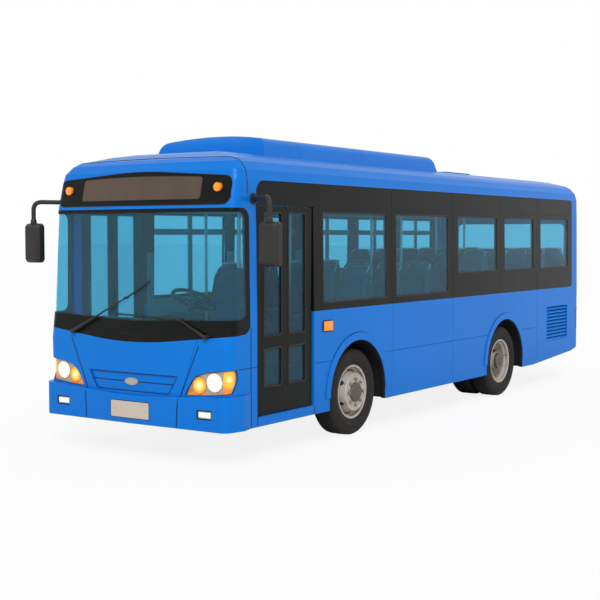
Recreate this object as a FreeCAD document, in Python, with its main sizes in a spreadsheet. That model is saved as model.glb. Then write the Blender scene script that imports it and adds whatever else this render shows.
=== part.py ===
import FreeCAD, Part
import math
import os
import re
import Sketcher

# A city bus, nine metres long, with two-leaf folding doors on both sides behind the front corners.
# Millimetres. The front faces -Y, the driver's side is +X, +Z is up, and the origin lies on the
# ground under the middle of the body.

V = FreeCAD.Vector
doc = FreeCAD.newDocument("city_bus")
sheet = doc.addObject("Spreadsheet::Sheet", "bus")
known = []
nodes = {}


def sizes(**values):
    for alias, content in values.items():
        row = len(known) + 1
        sheet.set(f"A{row}", alias)
        sheet.set(f"B{row}", str(content))
        sheet.setAlias(f"B{row}", alias)
        known.append(alias)


# Overall form
sizes(
    body_length=9100,
    body_width=2400,
    skirt_height=344,
    belt_height=1421.5,
    band_top=2743,
    band_inset=18,
    wall=50,
    panel_gap=4,
    seat_gap=0.3,
    front="=-body_length / 2",
    rear="=body_length / 2",
    half="=body_width / 2",
    half_inside="=half - wall",
    far="=body_length",
)

# Plan of the shell: a bowed front and rear with rounded corners
sizes(
    front_bow=60,
    rear_bow=25,
    bow_radius=9000,
    front_corner_radius=110,
    rear_corner_radius=190,
)

# How far the front and rear faces lie behind the foremost and rearmost planes at each height
sizes(
    mask_height=1150,
    screen_top=2450,
    lean_skirt=30,
    lean_mask=15,
    lean_sill=50,
    lean_screen=100,
    lean_band=170,
    tail_band=12,
    shoulder_rise=235,
    shoulder_run=215,
    brow_run=225,
    tail_run=190,
    crown_rise=85,
    crown_half=420,
    crown_run=460,
    crown_tail=150,
    crown_start=1160,
    crown_end=760,
)

# Running gear
sizes(
    front_overhang=2400,
    wheelbase=3871,
    tyre_radius=479,
    tyre_width=275,
    tread_width=190,
    bead_radius=286,
    bead_width=208,
    wheel_outer=1144.5,
    twin_spacing=310,
    arch_radius=582,
    arch_lip=83,
    arch_lip_height=12,
    front_axle_y="=front + front_overhang",
    rear_axle_y="=front_axle_y + wheelbase",
    wheel_x="=wheel_outer - tyre_width / 2",
    inner_twin_x="=wheel_x - twin_spacing",
    rim_thickness=12,
    rim_flange=12,
    rim_well=34,
    disc_radius=205,
    disc_bulge=148,
    hub_radius=110,
    hub_cap_radius=104,
    hub_cap_depth=20,
    hub_inner=90,
    hand_hole_radius=22,
    hand_hole_count=6,
    axle_tube_radius=60,
    rear_hub_length=80,
    differential_radius=170,
    shaft_radius=40,
)

# Steering
sizes(
    kingpin_x=800,
    boss_radius=45,
    boss_height=114,
    boss_low=419,
    fork_thickness=40,
    web_start=50,
    web_thickness=40,
    spindle_radius=45,
    steering_arm=180,
    arm_width=40,
    eye_radius=25,
    tie_rod_radius=18,
    beam_depth=90,
    beam_low=365,
    beam_height=95,
    beam_flat_half=450,
    beam_rise_half=620,
)

# Chassis
sizes(
    rail_spacing=740,
    rail_flange=65,
    rail_depth=220,
    rail_top=760,
    rear_rail_top=900,
    rail_wall=8,
    rail_front_inset=250,
    rail_rear_inset=330,
    bearer_width=60,
    short_bearer_half=640,
    front_bearer_start=300,
    front_bearer_pitch=500,
    middle_bearer_pitch=745,
    rear_bearer_pitch=695,
    cross_member_pitch=800,
    jack_pad_width=110,
    jack_pad_thickness=15,
    front_jack_pad=3750,
    rear_jack_pad=7450,
    spring_width=70,
    spring_half_length=650,
    spring_thickness=50,
    spring_tip=14,
    spring_rise=30,
    spring_flat=100,
    hanger_length=60,
)

# Floor and steps
sizes(
    floor_height=860,
    rear_floor_height=1000,
    floor_thickness=40,
    floor_step_y=950,
    wheel_box_top=1100,
    wheel_box_bottom=620,
    wheel_box_inner=500,
    wheel_box_half=640,
    sheet_metal=20,
    step_depth=220,
    low_step_height=420,
    middle_step_height=640,
    step_margin=20,
)

# Doors
sizes(
    door_from_front=525,
    door_width=987,
    door_bottom=439,
    door_top=2500,
    door_thickness=38,
    door_recess=22,
    door_edge_gap=16,
    door_end_gap=8,
    door_centre_gap=20,
    door_pin_inset=12,
    door_pin_radius=8,
    door_fold_offset=7,
    door_barrel_radius=5.5,
    door_barrel_height=60,
    door_hinge_low=800,
    door_hinge_pitch=650,
    door_hinge_count=3,
    door_outer_rim=115,
    door_inner_rim=50,
    low_pane_bottom=717,
    low_pane_top=1095,
    high_pane_bottom=1222,
    high_pane_top=2430,
    pane_radius=25,
    glass_thickness=6,
    glass_recess=10,
    door_front="=front + door_from_front",
    door_rear="=door_front + door_width",
    door_middle="=door_front + door_width / 2",
    door_outside="=half - door_recess",
    door_inside="=door_outside - door_thickness",
    door_pin_x="=door_outside - door_pin_inset",
    door_fold_x="=door_inside - door_fold_offset",
)

# Side windows: each starts this far behind the foremost plane
sizes(
    window_top=2453,
    window_radius=25,
    front_window_bottom=1498,
    rear_window_bottom=1727,
    window_1_start=1690,
    window_1_width=1346,
    window_2_start=3235,
    window_2_width=1331,
    window_3_start=4816,
    window_3_width=1186,
    window_4_start=6231,
    window_4_width=1006,
    window_5_start=7479,
    window_5_width=1074,
    band_front_radius=130,
    band_rear_radius=60,
)

# Panel joints along the sides, each this far behind the foremost plane, and the rear louvres
sizes(
    joint_1=3143,
    joint_2=4686,
    joint_3=6113,
    joint_4=7361,
    joint_width=5,
    joint_depth=5,
    crease_height=878,
    crease_reach=540,
    louvre_start=7725,
    louvre_length=820,
    louvre_low=635,
    louvre_rise=530,
    louvre_frame=14,
    louvre_depth=45,
    louvre_proud=3,
    louvre_slats=10,
    louvre_slat=6,
    louvre_slope=38,
)

# Front end
sizes(
    mask_depth=413,
    mask_side_top=1340,
    cap_depth=380,
    bumper_depth=420,
    bumper_bulge=38,
    bumper_thickness=60,
    bumper_bow=25,
    bumper_corner_radius=120,
    bumper_flank=260,
    bumper_top=684,
    bumper_top_drop=64,
    bumper_joint_top=612,
    bumper_joint_bottom=595,
    cowl_corner=1260,
    cowl_drop=134,
    mask_joint_top=839,
    screen_bottom=1403,
    screen_drop=45,
    screen_turn=250,
    screen_reach=360,
    screen_radius=80,
    screen_glass_top=2440,
    edge_bow_radius=5000,
    seal_width=30,
    screen_frame_reach=405,
    screen_frame_radius=105,
    sign_half=1125,
    sign_bottom=2505,
    sign_side_top=2772,
    sign_centre_rise=72,
    grille_top=843,
    grille_crease=757,
    grille_bottom=663,
    grille_top_half=586,
    grille_crease_half=532,
    grille_bottom_half=473,
    grille_radius=25,
    lamp_reach=214,
    lamp_end_height=845,
    lamp_low=640,
    lamp_high=960,
    lamp_edge_radius=120,
    lamp_end_radius=50,
    fog_lamp_x=934,
    fog_lamp_height=501,
    fog_lamp_width=171,
    fog_lamp_rise=77,
    fog_lamp_gap=7,
    fog_lamp_radius=12,
    fog_lamp_face=32,
    fog_lamp_back=50,
)

# Headlamp outline in front view: distance from the middle and height of each corner
lamp_points = (
    (672, 668), (705, 742), (755, 815), (822, 872), (940, 905), (1100, 925), (1250, 938),
    (1250, 716), (1120, 697), (977, 682),
)
for number, (across, height) in enumerate(lamp_points):
    sizes(**{f"lamp_x_{number}": across, f"lamp_z_{number}": height})

# Rear end
sizes(
    tail_depth=390,
    kick_start=7250,
    kick_rise=86,
    kick_rear_rise=176,
    rear_bumper_top=760,
    hatch_half=620,
    hatch_bottom=800,
    hatch_top=1330,
    hatch_gap=8,
    hatch_top_gap=20,
    hatch_pin_inset=12,
    hatch_pin_depth=22,
    hatch_pin_radius=8,
    rear_glass_half=930,
    rear_glass_bottom=1560,
    rear_glass_top=2400,
    tail_lamp_low=781,
    tail_lamp_high=1081,
    tail_lamp_inner=1010,
    tail_lamp_reach=190,
)

# Roof and its pod
sizes(
    roof_panel_half=620,
    pod_half=780,
    pod_top_half=690,
    pod_start=1235,
    pod_length=3910,
    pod_height=3306,
    pod_shoulder=3130,
    pod_bow_radius=4500,
    pod_slope=110,
    pod_end_radius=250,
    pod_corner_radius=110,
    pod_foot=2900,
)

# Inside
sizes(
    seat_width=430,
    seat_depth=430,
    seat_cushion=110,
    seat_cushion_top=450,
    seat_back_height=1010,
    seat_back_thickness=90,
    seat_back_lean=90,
    seat_corner_radius=40,
    seat_outer_x=905,
    seat_inner_x=465,
    front_seat_from_front=2675,
    front_seat_pitch=742,
    front_seat_rows=4,
    rear_seat_from_front=5750,
    rear_seat_pitch=675,
    rear_seat_rows=5,
    seat_leg=60,
    driver_x=380,
    driver_from_front=1130,
    driver_width=500,
    hand_wheel_radius=225,
    hand_wheel_tube=16,
    hand_wheel_from_front=560,
    hand_wheel_height=1560,
    hand_wheel_tilt=28,
    column_radius=30,
    dash_height=1360,
    dash_depth=330,
    dash_half=1000,
    pole_radius=16,
    pole_x=230,
    engine_half=330,
    engine_start=7500,
    engine_length=1180,
    engine_low=430,
    engine_high=885,
    engine_mount=80,
    tank_outer=1050,
    tank_start=4650,
    tank_length=800,
    tank_low=390,
    tank_high=720,
    tank_radius=40,
)

# Outside fittings
sizes(
    mirror_x=1560,
    mirror_from_front=220,
    mirror_low=1913,
    mirror_high=2339,
    mirror_width=230,
    mirror_depth=110,
    mirror_radius=40,
    mirror_arm_radius=18,
    mirror_arm_bend=70,
    mirror_arm_base=430,
    mirror_arm_height=2570,
    side_lamp_start=1680,
    side_lamp_width=177,
    side_lamp_low=1204,
    side_lamp_height=101,
    side_lamp_depth=14,
    roof_lamp_x=981,
    roof_lamp_height=2669,
    roof_lamp_radius=42,
    wiper_radius=9,
    tow_eye_bore=20,
    tow_eye_width=100,
    tow_eye_plate=30,
    tow_eye_web=15,
    tow_eye_reach=58,
    tow_eye_radius=30,
    front_eye_low=360,
    rear_eye_low=500,
)
doc.recompute()


def bind(text):
    # Sizes are written by their plain names and read from the sheet.
    return re.sub(r"[a-z][a-z0-9_]*", lambda m: "bus." + m.group() if m.group() in known else m.group(), str(text))


def value(text):
    return float(sheet.evalExpression(bind(text)))


def lock(sketch, kind, *reference, size):
    index = sketch.addConstraint(Sketcher.Constraint(kind, *reference, value(size)))
    sketch.setExpression(f"Constraints[{index}]", bind(size))


def new_sketch(owner, axis, at, name):
    # A sketch square to one axis, at a distance along it.
    role, sign = {"X": ("YZ_Plane", ""), "Y": ("XZ_Plane", "-"), "Z": ("XY_Plane", "")}[axis]
    sketch = owner.newObject("Sketcher::SketchObject", name)
    plane = [part for part in owner.Origin.OriginFeatures if part.Role == role][0]
    sketch.AttachmentSupport = [(plane, "")]
    sketch.MapMode = "FlatFace"
    sketch.setExpression(".AttachmentOffset.Base.z", f"{sign}({bind(at)})")
    return sketch


def outline(owner, axis, at, corners, name):
    # A closed outline; a corner is (u, v), or (u, v, radius) where it is rounded.
    sketch = new_sketch(owner, axis, at, name)
    points = [V(value(corner[0]), value(corner[1]), 0) for corner in corners]
    count = len(points)
    arrive = list(points)
    leave = list(points)
    rounds = {}
    for i, corner in enumerate(corners):
        if len(corner) == 3:
            back = (points[i - 1] - points[i]).normalize()
            ahead = (points[(i + 1) % count] - points[i]).normalize()
            angle = back.getAngle(ahead) / 2
            radius = value(corner[2])
            arrive[i] = points[i] + back * (radius / math.tan(angle))
            leave[i] = points[i] + ahead * (radius / math.tan(angle))
            centre = points[i] + (back + ahead).normalize() * (radius / math.sin(angle))
            rounds[i] = (centre, radius, ahead.cross(back).z > 0)
    for i in range(count):
        sketch.addGeometry(Part.LineSegment(leave[i], arrive[(i + 1) % count]), False)
    for i, corner in enumerate(corners):
        before = (i - 1) % count
        anchor = i
        if i in rounds:
            centre, radius, left_turn = rounds[i]
            ends = (arrive[i], leave[i]) if left_turn else (leave[i], arrive[i])
            angles = [math.atan2(end.y - centre.y, end.x - centre.x) for end in ends]
            arc = Part.ArcOfCircle(Part.Circle(centre, V(0, 0, 1), radius), *angles)
            arc_index = sketch.addGeometry(arc, False)
            first, second = (1, 2) if left_turn else (2, 1)
            anchor = sketch.addGeometry(Part.Point(points[i]), True)
            sketch.addConstraint(Sketcher.Constraint("Tangent", before, 2, arc_index, first))
            sketch.addConstraint(Sketcher.Constraint("Tangent", arc_index, second, i, 1))
            sketch.addConstraint(Sketcher.Constraint("PointOnObject", anchor, 1, before))
            sketch.addConstraint(Sketcher.Constraint("PointOnObject", anchor, 1, i))
            lock(sketch, "Radius", arc_index, size=corner[2])
        else:
            sketch.addConstraint(Sketcher.Constraint("Coincident", before, 2, i, 1))
        lock(sketch, "DistanceX", -1, 1, anchor, 1, size=corner[0])
        lock(sketch, "DistanceY", -1, 1, anchor, 1, size=corner[1])
    return sketch


def circle(owner, axis, at, centre, radius, name):
    sketch = new_sketch(owner, axis, at, name)
    middle = V(value(centre[0]), value(centre[1]), 0)
    sketch.addGeometry(Part.Circle(middle, V(0, 0, 1), value(radius)), False)
    lock(sketch, "Radius", 0, size=radius)
    lock(sketch, "DistanceX", -1, 1, 0, 3, size=centre[0])
    lock(sketch, "DistanceY", -1, 1, 0, 3, size=centre[1])
    return sketch


def new_body(name):
    return doc.addObject("PartDesign::Body", name)


def pad(owner, sketch, axis, length):
    feature = owner.newObject("PartDesign::Pad", owner.Name + "_pad")
    feature.Profile = sketch
    feature.setExpression("Length", bind(length))
    feature.Reversed = axis == "Y"
    return feature


def prism(name, axis, corners, low, high):
    # An outline carried along an axis from low to high.
    owner = new_body(name)
    pad(owner, outline(owner, axis, low, corners, name + "_outline"), axis, f"({high}) - ({low})")
    return owner


def pocket(owner, axis, corners, low, high, name):
    sketch = outline(owner, axis, low, corners, name + "_outline")
    feature = owner.newObject("PartDesign::Pocket", name)
    feature.Profile = sketch
    feature.setExpression("Length", bind(f"({high}) - ({low})"))
    feature.Reversed = axis != "Y"
    return feature


def revolve(name, corners):
    # An outline on the XY plane turned about the X axis.
    owner = new_body(name)
    feature = owner.newObject("PartDesign::Revolution", name + "_turn")
    sketch = outline(owner, "Z", "0", corners, name + "_profile")
    feature.Profile = sketch
    feature.ReferenceAxis = (sketch, ["H_Axis"])
    feature.Angle = 360
    return owner


def place(piece, x, y, z):
    piece.setExpression(".Placement.Base.x", bind(x))
    piece.setExpression(".Placement.Base.y", bind(y))
    piece.setExpression(".Placement.Base.z", bind(z))
    return piece


def box(name, x, y, z):
    block = doc.addObject("Part::Box", name)
    block.setExpression("Length", bind(f"({x[1]}) - ({x[0]})"))
    block.setExpression("Width", bind(f"({y[1]}) - ({y[0]})"))
    block.setExpression("Height", bind(f"({z[1]}) - ({z[0]})"))
    return place(block, x[0], y[0], z[0])


def rod(name, axis, centre, radius, low, high):
    # A cylinder along an axis; its centre gives the other two coordinates in order.
    piece = doc.addObject("Part::Cylinder", name)
    piece.setExpression("Radius", bind(radius))
    piece.setExpression("Height", bind(f"({high}) - ({low})"))
    turns = {"X": (V(0, 1, 0), 90), "Y": (V(1, 0, 0), -90), "Z": (V(0, 0, 1), 0)}
    piece.Placement.Rotation = FreeCAD.Rotation(*turns[axis])
    spots = {"X": (low, *centre), "Y": (centre[0], low, centre[1]), "Z": (*centre, low)}
    return place(piece, *spots[axis])


def fuse(name, *pieces):
    joined = doc.addObject("Part::MultiFuse", name)
    joined.Shapes = list(pieces)
    joined.Refine = True
    return joined


def group(name, *pieces):
    together = doc.addObject("Part::Compound", name)
    together.Links = list(pieces)
    return together


def cut(name, base, *tools):
    result = doc.addObject("Part::Cut", name)
    result.Base = base
    result.Tool = tools[0] if len(tools) == 1 else fuse(name + "_tools", *tools)
    result.Refine = True
    return result


def common(name, base, tool):
    result = doc.addObject("Part::Common", name)
    result.Base = base
    result.Tool = tool
    result.Refine = True
    return result


def mirror(name, source):
    copy = doc.addObject("Part::Mirroring", name)
    copy.Source = source
    copy.Normal = V(1, 0, 0)
    return copy


def both(name, source):
    return group(name, source, mirror(name + "_right", source))


def node(name, piece):
    piece.Label = name + "_node"
    nodes[name] = piece
    return piece


def rectangle(u, v, radius=None):
    corners = [(u[0], v[0]), (u[1], v[0]), (u[1], v[1]), (u[0], v[1])]
    return [(*corner, radius) for corner in corners] if radius else corners


# Shell: a loft through plan outlines, each set in by the same distance for the inner faces
def shell_levels(inset):
    side_slope = "band_inset * (screen_top - belt_height) / (band_top - belt_height)"
    levels = [
        (f"skirt_height - ({inset})", "lean_skirt", "0", "half", inset, "0"),
        ("mask_height", "lean_mask", "0", "half", inset, "0"),
        ("belt_height", "lean_sill", "0", "half", inset, "0"),
        ("screen_top", "lean_screen", "0", f"half - {side_slope}", inset, "0"),
        ("band_top", "lean_band", "tail_band", "half - band_inset", inset, "0"),
    ]
    for turn in (25, 50, 68, 82):
        share = f"(1 - cos({turn} deg))"
        levels.append((
            f"band_top + shoulder_rise * sin({turn} deg)",
            f"lean_band + brow_run * {share}",
            f"tail_band + tail_run * {share}",
            f"half - band_inset - shoulder_run * {share}",
            f"({inset}) * cos({turn} deg)",
            f"({inset}) * sin({turn} deg)",
        ))
    height, lean, tail, side = levels[-1][:4]
    for share in (0.35, 0.7, 1):
        levels.append((
            f"{height} + crown_rise * {1 - (1 - share) ** 2}",
            f"{lean} + crown_run * {share}",
            f"{tail} + crown_tail * {share}",
            f"{side} - ({side} - crown_half) * {share}",
            "0",
            inset,
        ))
    return levels


def shell_form(name, inset):
    owner = new_body(name)
    rings = []
    for number, (height, lean, tail, side, out, down) in enumerate(shell_levels(inset)):
        half_width = f"({side} - ({out}))"
        share = f"{half_width} / half"
        front_face = f"(front + {lean} + ({out}))"
        rear_face = f"(rear - ({tail}) - ({out}))"
        corners = [
            ("0", front_face, f"bow_radius * {share}"),
            (half_width, f"{front_face} + front_bow * {share}", f"front_corner_radius - ({inset})"),
            (half_width, f"{rear_face} - rear_bow * {share}", f"rear_corner_radius - ({inset})"),
            ("0", rear_face, f"bow_radius * {share}"),
            (f"-{half_width}", f"{rear_face} - rear_bow * {share}", f"rear_corner_radius - ({inset})"),
            (f"-{half_width}", f"{front_face} + front_bow * {share}", f"front_corner_radius - ({inset})"),
        ]
        rings.append(outline(owner, "Z", f"{height} - ({down})", corners, f"{name}_ring_{number}"))
    loft = owner.newObject("PartDesign::AdditiveLoft", name + "_loft")
    loft.Profile = rings[0]
    loft.Sections = rings[1:]
    loft.Ruled = True
    return owner


outer_form = shell_form("outer_form", "0")
inner_form = shell_form("inner_form", "wall")
skin = cut("skin", outer_form, inner_form)
glass_outer_form = shell_form("glass_outer_form", "glass_recess")
glass_inner_form = shell_form("glass_inner_form", "glass_recess + glass_thickness")
glass_skin = cut("glass_skin", glass_outer_form, glass_inner_form)

# Joint lines of the shell panels
pillar_end = "(door_front - panel_gap)"
band_end = "(rear - tail_depth)"
cap_end = "(front + cap_depth)"

# Regions that split the shell
band_region = prism("band_region", "X", [
    (pillar_end, "belt_height"),
    (band_end, "belt_height", "band_rear_radius"),
    (band_end, "band_top", "band_rear_radius"),
    (pillar_end, "band_top", "band_front_radius"),
], "-half - wall", "half + wall")
kick_region = prism("kick_region", "X", [
    ("front + kick_start", "skirt_height"),
    (band_end, "skirt_height + kick_rise"),
    ("rear + wall", "skirt_height + kick_rear_rise"),
    ("rear + wall", "0"),
    ("front + kick_start", "0"),
], "-half - wall", "half + wall")
screen_front = prism("screen_front", "Y", [
    ("-half - wall", "cowl_corner"),
    ("0", "cowl_corner - cowl_drop", "edge_bow_radius"),
    ("half + wall", "cowl_corner"),
    ("half + wall", "screen_glass_top + seal_width"),
    ("-half - wall", "screen_glass_top + seal_width"),
], "front", "front + cap_depth + wall")
pane_front = prism("pane_front", "Y", [
    ("-half - wall", "screen_bottom"),
    ("0", "screen_bottom - screen_drop", "edge_bow_radius"),
    ("half + wall", "screen_bottom"),
    ("half + wall", "screen_glass_top"),
    ("-half - wall", "screen_glass_top"),
], "front", "front + cap_depth")


def screen_side(name, reach, low, high, radius):
    # How far an opening of the front runs along the sides, with its two rounded corners there.
    return prism(name, "X", [
        ("front", "0"),
        ("front + screen_turn", "0"),
        ("front + screen_turn", low),
        (f"front + {reach}", low, radius),
        (f"front + {reach}", high, radius),
        ("front", high),
    ], "-half - wall", "half + wall")


screen_region = common("screen_region", screen_front, screen_side(
    "screen_sides", "screen_frame_reach", "cowl_corner", "screen_glass_top + seal_width", "screen_frame_radius"))
pane_region = common("pane_region", pane_front, screen_side(
    "pane_sides", "screen_reach", "screen_bottom", "screen_glass_top", "screen_radius"))
sign_region = prism("sign_region", "Y", [
    ("-sign_half", "sign_bottom", "screen_radius"),
    ("sign_half", "sign_bottom", "screen_radius"),
    ("sign_half", "sign_side_top", "screen_radius"),
    ("0", "sign_side_top + sign_centre_rise", "edge_bow_radius"),
    ("-sign_half", "sign_side_top", "screen_radius"),
], "front", "front + cap_depth + bumper_depth")
mask_region = prism("mask_region", "Y", [
    ("-half - wall", "bumper_top"),
    ("0", "bumper_top - bumper_top_drop", "edge_bow_radius"),
    ("half + wall", "bumper_top"),
    ("half + wall", "mask_side_top"),
    ("-half - wall", "mask_side_top"),
], "front", "front + mask_depth")
bumper_region = prism("bumper_region", "Y", [
    ("-half - wall", "0"),
    ("half + wall", "0"),
    ("half + wall", "bumper_top"),
    ("0", "bumper_top - bumper_top_drop", "edge_bow_radius"),
    ("-half - wall", "bumper_top"),
], "front - wall", "front + bumper_depth")

# Doorways and windows
doorways = box(
    "doorways",
    ("-far", "far"),
    ("door_front", "door_rear"),
    ("door_bottom", "door_top"),
)
windows = []
for number in range(1, 6):
    start = f"front + window_{number}_start"
    bottom = "front_window_bottom" if number < 3 else "rear_window_bottom"
    shape = rectangle((start, f"{start} + window_{number}_width"), (bottom, "window_top"), "window_radius")
    windows.append(prism(f"window_{number}", "X", shape, "-half - wall", "half + wall"))
window_holes = group("window_holes", *windows)


# Straight lengths of the body between the rounded ends
def section_chain(inset, first, last):
    return [(f"{side} - ({out})", f"{height} - ({down})")
            for height, _, _, side, out, down in shell_levels(inset)[first:last + 1]]


def wall_length(name, outer_inset, inner_inset, first, last):
    outside = section_chain(outer_inset, first, last)
    inside = section_chain(inner_inset, first, last)
    if first == 0:
        inside[0] = (inside[0][0], outside[0][1])
    return prism(name, "Y", outside + inside[::-1], pillar_end, band_end)


side_wall = wall_length("side_wall", "0", "wall", 0, 4)
side_glass = wall_length("side_glass", "glass_recess", "glass_recess + glass_thickness", 2, 4)


# Sides
def wheel_opening(name, axle):
    arch = rod(name + "_arch", "X", (axle, "tyre_radius"), "arch_radius", "-half - wall", "half + wall")
    below = box(
        name + "_below",
        ("-half - wall", "half + wall"),
        (f"{axle} - arch_radius", f"{axle} + arch_radius"),
        ("0", "tyre_radius"),
    )
    return fuse(name, arch, below)


def arch_lip(name, axle):
    # A raised lip round the upper half of a wheel opening.
    ring = rod(name + "_ring", "X", (axle, "tyre_radius"), "arch_radius + arch_lip",
               "half_inside", "half + arch_lip_height")
    upper = box(
        name + "_upper",
        ("half_inside", "half + arch_lip_height"),
        (f"{axle} - arch_radius - arch_lip", f"{axle} + arch_radius + arch_lip"),
        ("tyre_radius", "belt_height"),
    )
    return common(name, ring, upper)


def upright_joint(number, low, high):
    y = f"front + joint_{number}"
    return box(f"upright_joint_{number}", ("half - band_inset - joint_depth", "half"),
               (f"{y} - joint_width / 2", f"{y} + joint_width / 2"), (low, high))


def crease_joint(name, start, end):
    return box(name, ("half - joint_depth", "half"), (start, end),
               ("crease_height - joint_width / 2", "crease_height + joint_width / 2"))


upright_joints = group("upright_joints", *[
    upright_joint(number, "belt_height" if number == 3 else "0", "band_top") for number in range(1, 5)
])
creases = group(
    "creases",
    crease_joint("front_crease", "door_rear + door_edge_gap", "front_axle_y - crease_reach"),
    crease_joint("middle_crease", "front_axle_y + crease_reach", "rear_axle_y - crease_reach"),
    crease_joint("rear_crease", "rear_axle_y + crease_reach", "front + joint_4"),
)
louvre_span = ("front + louvre_start", "front + louvre_start + louvre_length")
louvre_height = ("louvre_low", "louvre_low + louvre_rise")
louvre_hole = box("louvre_hole", ("0", "half + wall"), louvre_span, louvre_height)
front_opening = wheel_opening("front_opening", "front_axle_y")
rear_opening = wheel_opening("rear_opening", "rear_axle_y")
below_belt = box("below_belt", ("0", "far"), (pillar_end, band_end), ("0", "belt_height + band_rear_radius"))
side_blank = cut("side_blank", common("side_lower", side_wall, below_belt), band_region, kick_region)
side_panel = cut(
    "side_panel",
    fuse("side_raised", side_blank, arch_lip("front_lip", "front_axle_y"), arch_lip("rear_lip", "rear_axle_y")),
    front_opening,
    rear_opening,
    doorways,
    louvre_hole,
    upright_joints,
    creases,
)
node("side_panels", both("side_panels", side_panel))
window_band = cut("window_band", common("band_strip", side_wall, band_region), doorways, window_holes,
                  upright_joints)
node("window_bands", both("window_bands", window_band))
node("side_windows", both("side_windows", common("side_window_panes", side_glass, window_holes)))

# Louvres at the rear: sloping slats in a frame
def side_louvre(name):
    owner = new_body(name)
    frame_outline = outline(owner, "X", "half - louvre_depth", rectangle(louvre_span, louvre_height), name + "_edge")
    pad(owner, frame_outline, "X", "louvre_depth + louvre_proud")
    inside = [[f"{edges[0]} + louvre_frame", f"{edges[1]} - louvre_frame"] for edges in (louvre_span, louvre_height)]
    pocket(owner, "X", rectangle(*inside), "half - louvre_depth", "half + louvre_proud", name + "_mouth")
    bottom = f"{louvre_height[0]} + louvre_frame + louvre_slat / 2"
    back = "half - louvre_depth + louvre_frame / 2"
    slat = outline(owner, "Y", f"{louvre_span[0]} + louvre_frame / 2", [
        ("half", bottom),
        ("half", f"{bottom} + louvre_slat"),
        (back, f"{bottom} + louvre_slat + louvre_slope"),
        (back, f"{bottom} + louvre_slope"),
    ], name + "_slat")
    slat_pad = pad(owner, slat, "Y", "louvre_length - louvre_frame")
    pattern = owner.newObject("PartDesign::LinearPattern", name + "_slats")
    pattern.Originals = [slat_pad]
    up = [part for part in owner.Origin.OriginFeatures if part.Role == "Z_Axis"][0]
    pattern.Direction = (up, [""])
    pattern.setExpression("Length", bind("louvre_rise - 2 * louvre_frame - louvre_slope - 2 * louvre_slat"))
    pattern.setExpression("Occurrences", bind("louvre_slats"))
    owner.Tip = pattern
    return owner


node("side_louvres", both("side_louvres", side_louvre("louvre")))

# Roof: a centre panel and two coves, with a piece of the rounded shell at each end
roof_outside = section_chain("0", 4, 11)
roof_inside = section_chain("wall", 4, 11)
roof_arch = (
    roof_outside
    + [(f"-({u})", v) for u, v in reversed(roof_outside)]
    + [(f"-({u})", v) for u, v in roof_inside]
    + roof_inside[::-1]
)
roof_middle = prism("roof_middle", "Y", roof_arch, "front + crown_start", "rear - crown_end")
upper_corner = box("upper_corner", ("-half", "half"), (pillar_end, band_end),
                   ("band_top - band_front_radius", "band_top"))
corner_walls = common("corner_walls", both("side_walls", side_wall), upper_corner)
roof_front_zone = box("roof_front_zone", ("-half", "half"), (cap_end, "front + crown_start"), ("band_top", "far"))
roof_rear_zone = box("roof_rear_zone", ("-half", "half"), ("rear - crown_end", band_end), ("band_top", "far"))
roof_skin = fuse(
    "roof_skin",
    roof_middle,
    common("roof_front", skin, roof_front_zone),
    common("roof_rear", skin, roof_rear_zone),
    cut("roof_corners", corner_walls, band_region),
)
cove_zone = box("cove_zone", ("roof_panel_half", "half"), ("front", "rear"), ("0", "far"))
centre_zone = box("centre_zone", ("-roof_panel_half", "roof_panel_half"), ("front", "rear"), ("0", "far"))
node("roof_shell", group(
    "roof_shell",
    common("roof_centre", roof_skin, centre_zone),
    both("roof_coves", common("roof_cove", roof_skin, cove_zone)),
))

pod = prism("pod", "X", [
    ("front + pod_start", "pod_foot"),
    ("front + pod_start + pod_length", "pod_foot"),
    ("front + pod_start + pod_length - pod_slope", "pod_height", "pod_end_radius"),
    ("front + pod_start + pod_slope", "pod_height", "pod_end_radius"),
], "-pod_half", "pod_half")
pod_section = prism("pod_section", "Y", [
    ("-pod_half", "pod_foot"),
    ("pod_half", "pod_foot"),
    ("pod_top_half", "pod_shoulder + (pod_height - pod_shoulder) / 2", "pod_corner_radius"),
    ("0", "pod_height", "pod_bow_radius"),
    ("-pod_top_half", "pod_shoulder + (pod_height - pod_shoulder) / 2", "pod_corner_radius"),
], "front", "rear")
node("roof_pod", cut("roof_pod", common("pod_form", pod, pod_section), outer_form))

# Front
front_zone = fuse(
    "front_zone",
    box("pillar_zone", ("-far", "far"), ("front", pillar_end), ("0", "band_top")),
    box("cap_zone", ("-far", "far"), ("front", cap_end), ("band_top", "far")),
)
front_skin = common("front_skin", skin, front_zone)
node("front_frame", cut("front_frame", front_skin, mask_region, bumper_region, screen_region, sign_region))
node("sign_panel", common("sign_panel", front_skin, sign_region))
screen_frame = cut("screen_frame", common("screen_surround", front_skin, screen_region), pane_region)
node("screen_frame", screen_frame)
node("windscreen", common("windscreen", glass_skin, pane_region))

lamp_corners = []
for number in range(len(lamp_points)):
    corner = (f"lamp_x_{number}", f"lamp_z_{number}")
    lamp_corners.append((*corner, "lamp_edge_radius") if 0 < number < 4 else corner)
lamp_front = prism("lamp_front", "Y", lamp_corners, "front", "front + mask_depth")
lamp_side = prism("lamp_side", "X", [
    ("front", "lamp_low"),
    ("front + lamp_reach / 2", "lamp_low"),
    ("front + lamp_reach", "lamp_end_height", "lamp_end_radius"),
    ("front + lamp_reach - wall / 2", "lamp_high", "lamp_end_radius"),
    ("front", "lamp_high"),
], "0", "half + wall")
lamp_region = both("lamp_region", common("lamp_form", lamp_front, lamp_side))
lamp_back = cut("lamp_back", shell_form("lamp_back_outer", "wall - sheet_metal"), inner_form)
node("headlamp_lenses", common("headlamp_lenses", glass_skin, lamp_region))
node("headlamp_housings", common("headlamp_housings", lamp_back, lamp_region))

mask_skin = cut("mask_skin", common("mask_band", front_skin, mask_region), screen_region, lamp_region)


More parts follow.
